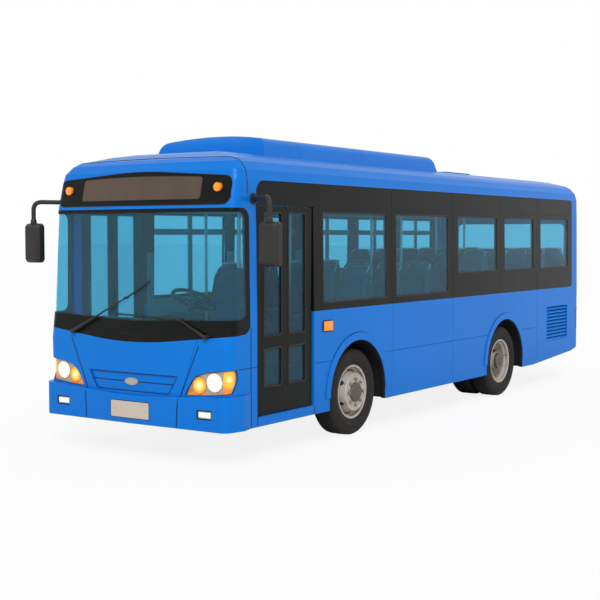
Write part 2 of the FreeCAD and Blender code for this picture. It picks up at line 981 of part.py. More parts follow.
def mask_wedge(name, grow):
    return prism(name, "Y", [
        (f"-bumper_joint_bottom - ({grow})", "0"),
        (f"bumper_joint_bottom + ({grow})", "0"),
        (f"bumper_joint_top + ({grow})", "bumper_top - bumper_top_drop / 2"),
        (f"mask_joint_top + ({grow})", "cowl_corner"),
        (f"-mask_joint_top - ({grow})", "cowl_corner"),
        (f"-bumper_joint_top - ({grow})", "bumper_top - bumper_top_drop / 2"),
    ], "front - wall", "front + mask_depth")


centre_wedge = mask_wedge("centre_wedge", "0")
centre_wedge_open = mask_wedge("centre_wedge_open", "panel_gap")
grille_upper = prism("grille_upper", "Y", [
    ("-grille_crease_half", "grille_crease"),
    ("grille_crease_half", "grille_crease"),
    ("grille_top_half", "grille_top", "grille_radius"),
    ("-grille_top_half", "grille_top", "grille_radius"),
], "front", "front + mask_depth")
grille_lower = prism("grille_lower", "Y", [
    ("-grille_bottom_half", "grille_bottom", "grille_radius"),
    ("grille_bottom_half", "grille_bottom", "grille_radius"),
    ("grille_crease_half", "grille_crease"),
    ("-grille_crease_half", "grille_crease"),
], "front", "front + mask_depth")
node("front_mask", group(
    "front_mask",
    cut(
        "mask_centre",
        common("mask_centre_blank", mask_skin, centre_wedge),
        cut("grille_deep", grille_upper, glass_inner_form),
        cut("grille_shallow", grille_lower, glass_outer_form),
    ),
    cut("mask_corners", mask_skin, centre_wedge_open),
))


def bumper_plan(inset):
    # The front bumper in plan: a flat bow, tight corners and flanks that bulge past the body.
    side = f"half + bumper_bulge - ({inset})"
    half_plan = [
        (f"half - wall / 5 - ({inset})", f"front + bumper_bow + ({inset})", "bumper_corner_radius - bumper_thickness / 2"),
        (side, "front + bumper_flank"),
        (f"half - ({inset})", "front + bumper_depth"),
    ]
    other = [(f"-({corner[0]})", *corner[1:]) for corner in reversed(half_plan)]
    return [("0", f"front + ({inset})", "bow_radius")] + half_plan + other


bumper_high = "bumper_top"
bumper_block = cut(
    "bumper_block",
    prism("bumper_outer", "Z", bumper_plan("0"), "skirt_height", bumper_high),
    prism("bumper_inner", "Z", bumper_plan("bumper_thickness"), "0", "far"),
)


def fog_outline(gap):
    reach = f"fog_lamp_width / 2 + ({gap})"
    rise = f"fog_lamp_rise / 2 + ({gap})"
    return rectangle((f"fog_lamp_x - ({reach})", f"fog_lamp_x + {reach}"),
                     (f"fog_lamp_height - ({rise})", f"fog_lamp_height + {rise}"), "fog_lamp_radius")


fog_recess = prism("fog_recess", "Y", fog_outline("fog_lamp_gap"), "front - wall", "front + fog_lamp_back")
node("fog_lamps", both("fog_lamps", prism("fog_lamp", "Y", fog_outline("0"), "front + fog_lamp_face",
                                          "front + fog_lamp_back")))
bumper_ring = cut("bumper_ring", common("bumper_band", bumper_block, bumper_region), both("fog_recesses", fog_recess))
node("front_bumper", group(
    "front_bumper",
    common("bumper_centre", bumper_ring, centre_wedge),
    cut("bumper_corners", bumper_ring, centre_wedge_open),
))

# Rear
rear_zone = box("rear_zone", ("-far", "far"), (band_end, "rear"), ("rear_bumper_top", "far"))
rear_skin = common("rear_skin", skin, rear_zone)
hatch_hole = box("hatch_hole", ("-hatch_half", "hatch_half"), ("rear - tail_depth / 2", "far"),
                 ("hatch_bottom", "hatch_top"))
rear_pane_region = prism(
    "rear_pane_region", "Y",
    rectangle(("-rear_glass_half", "rear_glass_half"), ("rear_glass_bottom", "rear_glass_top"), "screen_radius"),
    "rear - tail_depth / 2", "far",
)
tail_lamp_zone = box(
    "tail_lamp_zone",
    ("tail_lamp_inner", "far"),
    ("rear - tail_lamp_reach", "far"),
    ("tail_lamp_low", "tail_lamp_high"),
)
tail_lamp_holes = both("tail_lamp_holes", tail_lamp_zone)
node("rear_wall", cut("rear_wall", rear_skin, hatch_hole, rear_pane_region, tail_lamp_holes))
node("rear_window", common("rear_window", glass_skin, rear_pane_region))
tail_lamp = common("tail_lamp", rear_skin, tail_lamp_zone)
node("tail_lamps", both("tail_lamps", tail_lamp))
rear_bumper_zone = box("rear_bumper_zone", ("-far", "far"), (band_end, "rear"), ("0", "rear_bumper_top"))
node("rear_bumper", cut("rear_bumper", common("rear_bumper_skin", skin, rear_bumper_zone), kick_region))

hatch_zone = box(
    "hatch_zone",
    ("-hatch_half + hatch_gap", "hatch_half - hatch_gap"),
    ("rear - tail_depth / 2", "far"),
    ("hatch_bottom + hatch_gap", "hatch_top - hatch_top_gap"),
)
hatch_pin_y = "rear - hatch_pin_depth"
hatch_pin_z = "hatch_top - hatch_top_gap - hatch_pin_inset"
hatch_pins = rod("hatch_pins", "X", (hatch_pin_y, hatch_pin_z), "hatch_pin_radius",
                 "-hatch_half + seat_gap", "hatch_half - seat_gap")
hatch_pins_outside = cut(
    "hatch_pins_outside",
    hatch_pins,
    box("hatch_pin_middle", ("-hatch_half + 2 * hatch_gap", "hatch_half - 2 * hatch_gap"),
        ("rear - tail_depth", "far"), ("0", "far")),
)
node("engine_hatch", fuse("engine_hatch", common("hatch_panel", skin, hatch_zone), hatch_pins_outside))


# Doors: the rear leaf turns at the pillar and carries the front leaf at the fold
def door_leaf(name, low, high, pane):
    leaf = prism(name, "X", rectangle((low, high), ("door_bottom + door_end_gap", "door_top - door_end_gap")),
                 "door_inside", "door_outside")
    heights = (("low_pane_bottom", "low_pane_top"), ("high_pane_bottom", "high_pane_top"))
    for number, height in enumerate(heights):
        pocket(leaf, "X", rectangle(pane, height, "pane_radius"), "door_inside", "door_outside",
               f"{name}_hole_{number}")
    return leaf


def door_glass(name, pane):
    heights = (("low_pane_bottom", "low_pane_top"), ("high_pane_bottom", "high_pane_top"))
    panes = []
    for number, height in enumerate(heights):
        shape = rectangle(pane, height, "pane_radius")
        middle = "(door_inside + door_thickness / 2)"
        panes.append(prism(f"{name}_{number}", "X", shape, f"{middle} - glass_thickness / 2",
                           f"{middle} + glass_thickness / 2"))
    return group(name, *panes)


def door_pin(name, y):
    low = "door_bottom + seat_gap"
    high = "door_top - seat_gap"
    return fuse(
        name,
        rod(name + "_low", "Z", ("door_pin_x", y), "door_pin_radius", low, "low_pane_bottom / 2 + door_bottom / 2"),
        rod(name + "_high", "Z", ("door_pin_x", y), "door_pin_radius", "high_pane_top + door_end_gap", high),
    )


def fold_barrels(name, side, shift):
    # Hinge barrels at the fold, each on a lug of its own leaf.
    pieces = []
    for number in range(int(value("door_hinge_count"))):
        low = f"door_hinge_low + door_hinge_pitch * {number} + {shift}"
        high = f"{low} + door_barrel_height - seat_gap"
        pieces.append(rod(f"{name}_{number}", "Z", ("door_fold_x", "door_middle"), "door_barrel_radius", low, high))
        reach = sorted(("door_middle", f"door_middle + {side} * door_inner_rim"), key=value)
        pieces.append(box(f"{name}_lug_{number}", ("door_fold_x + door_barrel_radius / 4", "door_inside"),
                          reach, (low, high)))
    return pieces


rear_leaf_edges = ("door_middle + door_centre_gap / 2", "door_rear - door_edge_gap")
front_leaf_edges = ("door_front + door_edge_gap", "door_middle - door_centre_gap / 2")
rear_pane = (f"{rear_leaf_edges[0]} + door_inner_rim", f"{rear_leaf_edges[1]} - door_outer_rim")
front_pane = (f"{front_leaf_edges[0]} + door_outer_rim", f"{front_leaf_edges[1]} - door_inner_rim")
rear_leaf = fuse(
    "rear_leaf",
    door_leaf("rear_leaf_panel", *rear_leaf_edges, rear_pane),
    door_pin("rear_leaf_pin", f"{rear_leaf_edges[1]} - door_pin_inset"),
    *fold_barrels("rear_barrel", 1, "0"),
)
front_leaf = fuse(
    "front_leaf",
    door_leaf("front_leaf_panel", *front_leaf_edges, front_pane),
    door_pin("front_leaf_pin", f"{front_leaf_edges[0]} + door_pin_inset"),
    *fold_barrels("front_barrel", -1, "door_barrel_height"),
)
rear_leaf_glass = door_glass("rear_leaf_glass", rear_pane)
front_leaf_glass = door_glass("front_leaf_glass", front_pane)
for part, piece in (
    ("rear_leaf", rear_leaf),
    ("front_leaf", front_leaf),
    ("rear_glass", rear_leaf_glass),
    ("front_glass", front_leaf_glass),
):
    node(f"door_left_{part}", piece)
    node(f"door_right_{part}", mirror(f"door_right_{part}", piece))


# Wheels, each about its own centre, with +X towards the outside
def tyre_profile():
    half_side = [
        ("bead_width / 2", "bead_radius"),
        ("bead_width / 2", "bead_radius + rim_flange"),
        ("tyre_width / 2 - rim_flange", "bead_radius + rim_flange * 3.5"),
        ("tyre_width / 2", "(bead_radius + tyre_radius) / 2"),
        ("tyre_width / 2 - rim_flange / 2", "tyre_radius - rim_well"),
        ("tread_width / 2", "tyre_radius"),
    ]
    return half_side + [(f"-({u})", v) for u, v in reversed(half_side)]


def rim_profile(hub_face, disc_foot, back_edge, face_edge):
    # The rim's well and flanges with its disc running to the hub face in one section.
    flange = "bead_width / 2"
    outer = [
        (f"{flange} + rim_flange", "bead_radius + rim_flange"),
        (flange, "bead_radius + rim_flange"),
        (flange, "bead_radius"),
        (f"{flange} / 2 + rim_thickness", "bead_radius"),
        (f"{flange} / 2", "bead_radius - rim_well + rim_thickness"),
    ]
    inner = [
        (f"{flange} / 2 + rim_thickness / 2", "bead_radius - rim_well"),
        (f"{flange} / 2 + rim_thickness * 3 / 2", "bead_radius - rim_thickness"),
        (f"{flange} + rim_flange / 2", "bead_radius - rim_thickness"),
        (f"{flange} + rim_flange", "bead_radius"),
    ]
    disc = [
        (f"{disc_foot} - rim_thickness", "bead_radius - rim_well"),
        (f"{hub_face} - rim_thickness", back_edge),
        (f"{hub_face} - rim_thickness", "hub_radius"),
        (hub_face, "hub_radius"),
        (hub_face, face_edge),
        (f"{disc_foot} + rim_thickness", "bead_radius - rim_well"),
    ]
    left_outer = [(f"-({u})", v) for u, v in reversed(outer)]
    left_inner = [(f"-({u})", v) for u, v in reversed(inner)]
    return outer + left_outer + left_inner + disc + inner


def rim_body(name, hub_face, disc_foot, back_edge, face_edge):
    owner = revolve(name, rim_profile(hub_face, disc_foot, back_edge, face_edge))
    hole = circle(owner, "X", "-tyre_width", ("0", "(disc_radius + bead_radius - rim_well) / 2"),
                  "hand_hole_radius", name + "_hole")
    hand_hole = owner.newObject("PartDesign::Pocket", name + "_hand_hole")
    hand_hole.Profile = hole
    hand_hole.Type = "ThroughAll"
    hand_hole.Reversed = True
    pattern = owner.newObject("PartDesign::PolarPattern", name + "_hand_holes")
    pattern.Originals = [hand_hole]
    axis = [part for part in owner.Origin.OriginFeatures if part.Role == "X_Axis"][0]
    pattern.Axis = (axis, [""])
    pattern.Angle = 360
    pattern.setExpression("Occurrences", bind("hand_hole_count"))
    owner.Tip = pattern
    return owner


front_rim = fuse(
    "front_rim",
    rim_body("front_rim_disc", "disc_bulge", "0", "disc_radius - rim_thickness", "disc_radius"),
    rod("front_hub", "X", ("0", "0"), "hub_radius", "-hub_inner", "disc_bulge"),
    rod("front_hub_cap", "X", ("0", "0"), "hub_cap_radius", "disc_bulge", "disc_bulge + hub_cap_depth"),
)
place(front_rim, "wheel_x", "front_axle_y", "tyre_radius")
twin_disc = ("-twin_spacing / 2 + rim_thickness", "-bead_width / 8", "disc_radius", "disc_radius - rim_thickness")
outer_rim = rim_body("outer_rim", *twin_disc)
inner_rim = rim_body("inner_rim", *twin_disc)
inner_rim.Placement = FreeCAD.Placement(V(0, 0, 0), FreeCAD.Rotation(V(0, 0, 1), 180))
place(inner_rim, "-twin_spacing", "0", "0")
rear_rim = fuse(
    "rear_rim",
    outer_rim,
    inner_rim,
    rod("rear_hub", "X", ("0", "0"), "hub_radius", "-twin_spacing - rear_hub_length", "tyre_width / 4"),
    rod("rear_hub_cap", "X", ("0", "0"), "hub_cap_radius", "tyre_width / 4", "bead_width / 2 + rim_flange"),
)
place(rear_rim, "wheel_x", "rear_axle_y", "tyre_radius")
front_tyre = place(revolve("front_tyre", tyre_profile()), "wheel_x", "front_axle_y", "tyre_radius")
rear_tyres = group(
    "rear_tyres",
    place(revolve("outer_tyre", tyre_profile()), "wheel_x", "rear_axle_y", "tyre_radius"),
    place(revolve("inner_tyre", tyre_profile()), "inner_twin_x", "rear_axle_y", "tyre_radius"),
)
for part, piece in (
    ("rim_front", front_rim),
    ("rim_rear", rear_rim),
    ("tyre_front", front_tyre),
    ("tyre_rear", rear_tyres),
):
    node(part + "_left", piece)
    node(part + "_right", mirror(part + "_right", piece))

# Front axle and steering
boss_high = "(boss_low + boss_height)"
beam = prism("beam", "Y", [
    ("-kingpin_x", "boss_low + seat_gap"),
    ("-beam_rise_half", "boss_low + seat_gap"),
    ("-beam_flat_half", "beam_low"),
    ("beam_flat_half", "beam_low"),
    ("beam_rise_half", "boss_low + seat_gap"),
    ("kingpin_x", "boss_low + seat_gap"),
    ("kingpin_x", f"{boss_high} - seat_gap"),
    ("beam_rise_half", f"{boss_high} - seat_gap"),
    ("beam_flat_half", "beam_low + beam_height"),
    ("-beam_flat_half", "beam_low + beam_height"),
    ("-beam_rise_half", f"{boss_high} - seat_gap"),
    ("-kingpin_x", f"{boss_high} - seat_gap"),
], "front_axle_y - beam_depth / 2", "front_axle_y + beam_depth / 2")
bosses = both("bosses", rod("boss", "Z", ("kingpin_x", "front_axle_y"), "boss_radius", "boss_low", boss_high))
node("front_axle", fuse("front_axle", beam, bosses))

fork_low = "boss_low - seat_gap - fork_thickness"
fork_high = f"{boss_high} + seat_gap + fork_thickness"
web_end = "kingpin_x + web_start + web_thickness"
arm_end = "front_axle_y + steering_arm"
knuckle = fuse(
    "knuckle",
    rod("fork_lower", "Z", ("kingpin_x", "front_axle_y"), "boss_radius", fork_low, "boss_low - seat_gap"),
    rod("fork_upper", "Z", ("kingpin_x", "front_axle_y"), "boss_radius", f"{boss_high} + seat_gap", fork_high),
    box("fork_lower_arm", ("kingpin_x", web_end), ("front_axle_y - boss_radius", "front_axle_y + boss_radius"),
        (fork_low, "boss_low - seat_gap")),
    box("fork_upper_arm", ("kingpin_x", web_end), ("front_axle_y - boss_radius", "front_axle_y + boss_radius"),
        (f"{boss_high} + seat_gap", fork_high)),
    box("fork_web", ("kingpin_x + web_start", web_end),
        ("front_axle_y - boss_radius", "front_axle_y + boss_radius"), (fork_low, fork_high)),
    rod("spindle", "X", ("front_axle_y", "tyre_radius"), "spindle_radius", "kingpin_x + web_start",
        "wheel_x - hub_inner - seat_gap"),
    box("steering_lever", ("kingpin_x - arm_width / 2", "kingpin_x + arm_width / 2"), ("front_axle_y", arm_end),
        (fork_low, "boss_low - seat_gap")),
    rod("lever_eye", "Z", ("kingpin_x", arm_end), "eye_radius", fork_low, "boss_low - seat_gap"),
)
node("knuckle_left", knuckle)
node("knuckle_right", mirror("knuckle_right", knuckle))
rod_high = f"{fork_low} - seat_gap"
rod_low = f"{rod_high} - 2 * tie_rod_radius"
node("tie_rod", fuse(
    "tie_rod",
    both("rod_eyes", rod("rod_eye", "Z", ("kingpin_x", arm_end), "eye_radius", rod_low, rod_high)),
    rod("rod_bar", "X", (arm_end, f"{rod_high} - tie_rod_radius"), "tie_rod_radius", "-kingpin_x", "kingpin_x"),
))

# Rear axle
tube_end = "inner_twin_x - rear_hub_length - seat_gap"
node("rear_axle", fuse(
    "rear_axle",
    rod("axle_tube", "X", ("rear_axle_y", "tyre_radius"), "axle_tube_radius", f"-({tube_end})", tube_end),
    rod("differential", "X", ("rear_axle_y", "tyre_radius"), "differential_radius",
        "-differential_radius * 3 / 5", "differential_radius * 3 / 5"),
    rod("pinion_nose", "Y", ("0", "tyre_radius"), "differential_radius / 2", "rear_axle_y",
        "rear_axle_y + 2 * differential_radius"),
    rod("drive_shaft", "Y", ("0", "tyre_radius"), "shaft_radius", "rear_axle_y", "front + engine_start"),
))

# Chassis: two kicked-up channels, cross members, bearers under the floor
front_bottom = "rail_top - rail_depth"
rear_bottom = "rear_rail_top - rail_depth"


def rail_outline(inset):
    return [
        ("front + rail_front_inset", f"rail_top - ({inset})"),
        ("front + rail_front_inset", f"{front_bottom} + ({inset})"),
        ("floor_step_y", f"{front_bottom} + ({inset})"),
        ("floor_step_y + rail_depth / 2", f"{rear_bottom} + ({inset})"),
        ("rear - rail_rear_inset", f"{rear_bottom} + ({inset})"),
        ("rear - rail_rear_inset", f"rear_rail_top - ({inset})"),
        ("floor_step_y + rail_depth / 2", f"rear_rail_top - ({inset})"),
        ("floor_step_y", f"rail_top - ({inset})"),
    ]


rail = cut(
    "rail",
    prism("rail_block", "X", rail_outline("0"), "rail_spacing / 2", "rail_spacing / 2 + rail_flange"),
    prism("rail_channel", "X", rail_outline("rail_wall"), "0", "rail_spacing / 2 + rail_flange - rail_wall"),
)


def bearer(name, y, reach, low, high):
    return box(name, (f"-({reach})", reach), (y, f"{y} + bearer_width"), (low, high))


frame_parts = [rail, mirror("rail_right", rail)]
rail_reach = "rail_spacing / 2 + rail_flange - rail_wall"
front_box_end = "front_axle_y + wheel_box_half + bearer_width"
rear_box_end = "rear_axle_y + wheel_box_half + bearer_width"
front_bearers = [(f"front + front_bearer_start + {number} * front_bearer_pitch", "short_bearer_half")
                 for number in range(3)]
front_bearers += [
    ("front_axle_y - wheel_box_half - 2 * bearer_width", "half_inside"),
    ("front_axle_y - wheel_box_half / 2", "wheel_box_inner"),
    ("front_axle_y + wheel_box_half / 2", "wheel_box_inner"),
]
front_bearers += [(f"{front_box_end} + {number} * middle_bearer_pitch", "half_inside") for number in range(3)]
rear_bearers = [
    ("floor_step_y + rail_depth / 2", "wheel_box_inner"),
    ("rear_axle_y - wheel_box_half / 2", "wheel_box_inner"),
    ("rear_axle_y + wheel_box_half / 2", "wheel_box_inner"),
]
rear_bearers += [(f"{rear_box_end} + {number} * rear_bearer_pitch", "half_inside") for number in range(3)]
for number, (y, reach) in enumerate(front_bearers):
    frame_parts.append(bearer(f"front_bearer_{number}", y, reach, "rail_top", "floor_height - floor_thickness"))
for number, (y, reach) in enumerate(rear_bearers):
    frame_parts.append(bearer(f"rear_bearer_{number}", y, reach, "rear_rail_top",
                              "rear_floor_height - floor_thickness"))
cross_members = (
    ("front + front_bearer_start", front_bottom),
    ("front + front_bearer_start + cross_member_pitch", front_bottom),
    (front_box_end, front_bottom),
    (f"{front_box_end} + cross_member_pitch", front_bottom),
    ("rear_axle_y - wheel_box_half - 2 * bearer_width", rear_bottom),
    ("rear_axle_y + wheel_box_half", rear_bottom),
    ("rear - rail_rear_inset - bearer_width", rear_bottom),
)
for number, (y, low) in enumerate(cross_members):
    frame_parts.append(bearer(f"cross_member_{number}", y, rail_reach, low, f"{low} + rail_depth / 2"))
for end, low in (("front", front_bottom), ("rear", rear_bottom)):
    middle = "rail_spacing / 2 + rail_flange / 2"
    jack_pad = box(
        f"{end}_jack_pad_left",
        (f"{middle} - jack_pad_width / 2", f"{middle} + jack_pad_width / 2"),
        (f"front + {end}_jack_pad - jack_pad_width / 2", f"front + {end}_jack_pad + jack_pad_width / 2"),
        (f"{low} - jack_pad_thickness", low),
    )
    frame_parts.append(both(f"{end}_jack_pads", jack_pad))
node("chassis_frame", fuse("chassis_frame", *frame_parts))


def leaf_spring(name, axle, seat, rail_low):
    tip = f"{seat} + spring_rise"
    shape = [
        (f"{axle} - spring_half_length", tip),
        (f"{axle} - spring_flat", seat),
        (f"{axle} + spring_flat", seat),
        (f"{axle} + spring_half_length", tip),
        (f"{axle} + spring_half_length", f"{tip} + spring_tip"),
        (f"{axle} + spring_flat", f"{seat} + spring_thickness"),
        (f"{axle} - spring_flat", f"{seat} + spring_thickness"),
        (f"{axle} - spring_half_length", f"{tip} + spring_tip"),
    ]
    low = "rail_spacing / 2 + rail_flange / 2 - spring_width / 2"
    high = f"{low} + spring_width"
    leaves = prism(name + "_leaves", "X", shape, low, high)
    hangers = []
    for side, sign in (("front", "-"), ("rear", "+")):
        y = sorted((f"{axle} {sign} spring_half_length", f"{axle} {sign} (spring_half_length - hanger_length)"),
                   key=value)
        hangers.append(box(f"{name}_{side}_hanger", (low, high), y, (f"{tip} + spring_tip / 2", rail_low)))
    return fuse(name, leaves, *hangers)


front_spring = leaf_spring("front_spring", "front_axle_y", "beam_low + beam_height", front_bottom)
rear_spring = leaf_spring("rear_spring", "rear_axle_y", "tyre_radius + axle_tube_radius", rear_bottom)
node("leaf_springs", both("leaf_springs", group("springs_left", front_spring, rear_spring)))

engine_end = "front + engine_start + engine_length"
mounts = []
for number, y in enumerate(("front + engine_start + engine_mount", f"{engine_end} - 2 * engine_mount")):
    mounts.append(box(
        f"engine_mount_{number}",
        ("-rail_spacing / 2 - rail_flange / 2", "rail_spacing / 2 + rail_flange / 2"),
        (y, f"{y} + engine_mount"),
        (f"{rear_bottom} + rail_wall", f"{rear_bottom} + rail_wall + engine_mount"),
    ))
node("engine_block", fuse(
    "engine_block",
    box("engine_body", ("-engine_half", "engine_half"), ("front + engine_start", engine_end),
        ("engine_low", "engine_high")),
    *mounts,
))
tank_shape = rectangle(("-tank_outer", "-rail_spacing / 2 - rail_flange"), ("tank_low", "tank_high"), "tank_radius")
node("fuel_tank", prism("fuel_tank", "Y", tank_shape, "front + tank_start", "front + tank_start + tank_length"))


# Floor with wheel boxes
def wheel_box(name, axle, inset, low, high):
    return box(
        name,
        (f"wheel_box_inner + ({inset})", f"half_inside + ({inset})"),
        (f"{axle} - wheel_box_half + ({inset})", f"{axle} + wheel_box_half - ({inset})"),
        (low, high),
    )


step_inner = "(half_inside - 2 * step_depth)"
step_space = box("step_space", (step_inner, "far"), ("door_front - step_margin", "door_rear + step_margin"),
                 ("0", "floor_height"))
step_spaces = both("step_spaces", step_space)
front_floor = box("front_floor", ("-half_inside", "half_inside"), ("front", "floor_step_y"),
                  ("floor_height - floor_thickness", "floor_height"))
rear_floor = box("rear_floor", ("-half_inside", "half_inside"), ("floor_step_y", "rear"),
                 ("rear_floor_height - floor_thickness", "rear_floor_height"))
riser = box("riser", ("-half_inside", "half_inside"), ("floor_step_y - sheet_metal", "floor_step_y"),
            ("floor_height", "rear_floor_height"))
floor_parts = [riser]
for end, axle, sheet, gaps in (("front", "front_axle_y", front_floor, [step_spaces]),
                               ("rear", "rear_axle_y", rear_floor, [])):
    hulls = both(f"{end}_wheel_hulls",
                 wheel_box(f"{end}_wheel_hull", axle, "0", "wheel_box_bottom", "wheel_box_top"))
    spaces = both(f"{end}_wheel_spaces",
                  wheel_box(f"{end}_wheel_space", axle, "sheet_metal", "0", "wheel_box_top - sheet_metal"))
    floor_parts.append(cut(f"{end}_sheet", common(f"{end}_sheet_blank", sheet, inner_form), hulls, *gaps))
    floor_parts.append(cut(f"{end}_wheel_boxes", common(f"{end}_boxes_blank", hulls, inner_form), spaces))
node("floor_deck", group("floor_deck", *floor_parts))


# Steps inside the doorways
def stair(name, grow):
    return [
        ("half_inside", f"low_step_height - ({grow})"),
        (f"half_inside - step_depth - ({grow})", f"low_step_height - ({grow})"),
        (f"half_inside - step_depth - ({grow})", f"middle_step_height - ({grow})"),
        (f"{step_inner} - ({grow})", f"middle_step_height - ({grow})"),
        (f"{step_inner} - ({grow})", "floor_height - floor_thickness"),
    ]


outer_stair = stair("outer", "sheet_metal")
inner_stair = [
    (f"{step_inner}", "floor_height - floor_thickness"),
    (f"{step_inner}", "middle_step_height"),
    ("half_inside - step_depth", "middle_step_height"),
    ("half_inside - step_depth", "low_step_height"),
    ("half_inside", "low_step_height"),
]
step_treads = prism("step_treads", "Y", outer_stair + inner_stair, "door_front - step_margin",
                    "door_rear + step_margin")
step_sides = []
for number, y in enumerate(("door_front - step_margin", "door_rear")):
    cheek = [outer_stair[0], *outer_stair[1:], ("half_inside", "floor_height - floor_thickness")]
    step_sides.append(prism(f"step_side_{number}", "Y", cheek, y, f"{y} + step_margin"))
node("step_wells", both("step_wells", fuse("step_well", step_treads, *step_sides)))


# Seats
def seat_outline(y, floor):
    # Side view of one seat: cushion, and a back that leans away from the front.
    front_edge = f"{y} - seat_depth"
    top = f"{floor} + seat_cushion_top"
    return [
        (front_edge, f"{top} - seat_cushion", "seat_corner_radius"),
        (y, f"{top} - seat_cushion"),
        (f"{y} + seat_back_lean + seat_back_thickness", f"{floor} + seat_back_height", "seat_corner_radius"),
        (f"{y} + seat_back_lean", f"{floor} + seat_back_height", "seat_corner_radius"),
        (f"{y} - seat_back_thickness / 2", top),
        (front_edge, top, "seat_corner_radius"),
    ]


def seat_rows(name, first, floor, pitch, rows):
    # One double seat, repeated down the bus and across the aisle.
    owner = new_body(name)
    low = "seat_inner_x - seat_width / 2"
    seat = pad(owner, outline(owner, "X", low, seat_outline(first, floor), name + "_side"), "X", "seat_width")
    legs = outline(owner, "X", f"{low} + seat_width / 2 - seat_leg / 2",
                   rectangle((f"{first} - seat_depth / 2 - seat_leg", f"{first} - seat_depth / 2"),
                             (floor, f"{floor} + seat_cushion_top - seat_cushion")), name + "_leg")
    leg = owner.newObject("PartDesign::Pad", name + "_leg_pad")
    leg.Profile = legs
    leg.setExpression("Length", bind("seat_leg"))
    pattern = owner.newObject("PartDesign::LinearPattern", name + "_pattern")
    pattern.Originals = [seat, leg]
    axes = {part.Role: part for part in owner.Origin.OriginFeatures}
    pattern.Direction = (axes["X_Axis"], [""])
    pattern.setExpression("Length", bind("seat_outer_x - seat_inner_x"))
    pattern.Occurrences = 2
    pattern.Direction2 = (axes["Y_Axis"], [""])
    pattern.setExpression("Length2", bind(f"{pitch} * ({rows} - 1)"))
    pattern.setExpression("Occurrences2", bind(rows))
    owner.Tip = pattern
    return owner


front_seats = seat_rows("front_seats", "front + front_seat_from_front", "floor_height", "front_seat_pitch",
                        "front_seat_rows")
rear_seats = seat_rows("rear_seats", "front + rear_seat_from_front", "rear_floor_height", "rear_seat_pitch",
                       "rear_seat_rows")
seats_left = group("seats_left", front_seats, rear_seats)
wheel_boxes_solid = group("wheel_boxes_solid", *[
    wheel_box(f"{end}_box_clearance", axle, "0", "wheel_box_bottom", "wheel_box_top")
    for end, axle in (("front", "front_axle_y"), ("rear", "rear_axle_y"))
])
node("passenger_seats", both("passenger_seats", cut("seats_trimmed", seats_left, wheel_boxes_solid)))

driver_y = "front + driver_from_front"
driver_seat = prism("driver_seat", "X", seat_outline(driver_y, "floor_height"),
                    "driver_x - driver_width / 2", "driver_x + driver_width / 2")
driver_base = box(
    "driver_base",
    ("driver_x - driver_width / 4", "driver_x + driver_width / 4"),
    (f"{driver_y} - seat_depth * 3 / 4", f"{driver_y} - seat_depth / 4"),
    ("floor_height", "floor_height + seat_cushion_top - seat_cushion"),
)
node("driver_seat", fuse("driver_seat_whole", driver_seat, driver_base))

# Dashboard, steering wheel and grab poles
dash_blank = box("dash_blank", ("-dash_half", "dash_half"), ("front", "front + lean_sill + wall + dash_depth"),
                 ("floor_height", "dash_height"))
node("dashboard", common("dashboard", dash_blank, inner_form))
hand_wheel = fuse("hand_wheel", *[
    doc.addObject("Part::Torus", "hand_ring"),
    rod("hand_hub", "Z", ("0", "0"), "2 * column_radius", "-column_radius", "column_radius / 2"),
    box("hand_spoke_cross", ("-hand_wheel_radius", "hand_wheel_radius"), ("-column_radius", "column_radius"),
        ("-hand_wheel_tube / 2", "hand_wheel_tube / 2")),
    box("hand_spoke_low", ("-column_radius", "column_radius"), ("0", "hand_wheel_radius"),
        ("-hand_wheel_tube / 2", "hand_wheel_tube / 2")),
])
ring = doc.getObject("hand_ring")
ring.setExpression("Radius1", bind("hand_wheel_radius"))
ring.setExpression("Radius2", bind("hand_wheel_tube"))
column = rod("column", "Z", ("0", "0"), "column_radius", "-(hand_wheel_height - floor_height) - 200", "0")
tilted = fuse("steering_wheel_tilted", hand_wheel, column)
tilted.setExpression(".Placement.Rotation.Angle", bind("-hand_wheel_tilt * 1 deg"))
tilted.Placement.Rotation = FreeCAD.Rotation(V(1, 0, 0), -value("hand_wheel_tilt"))
place(tilted, "driver_x", "front + hand_wheel_from_front", "hand_wheel_height")
above_floor = box("above_floor", ("-half", "half"), ("front", "rear"), ("floor_height", "far"))
steering_wheel = cut("steering_wheel", common("steering_above", tilted, above_floor), dash_blank)
node("steering_wheel", steering_wheel)

poles = []
for number, y in enumerate(("door_rear", "front_axle_y + front_seat_pitch", "floor_step_y - seat_depth")):
    poles.append(rod(f"pole_{number}", "Z", ("pole_x", y), "pole_radius", "floor_height", "far"))
poles.append(rod("rear_pole", "Z", ("pole_x", "rear_axle_y + rear_seat_pitch"), "pole_radius",
                 "rear_floor_height", "far"))
node("grab_poles", both("grab_poles", common("poles_left", group("pole_rods", *poles), inner_form)))

# Mirrors on bent arms from the front pillars
mirror_y = "front + mirror_from_front"
head = prism("mirror_head", "Z", rectangle(
    ("mirror_x - mirror_width / 2", "mirror_x + mirror_width / 2"),
    (f"{mirror_y} - mirror_depth / 2", f"{mirror_y} + mirror_depth / 2"),
    "mirror_radius"), "mirror_low", "mirror_high")


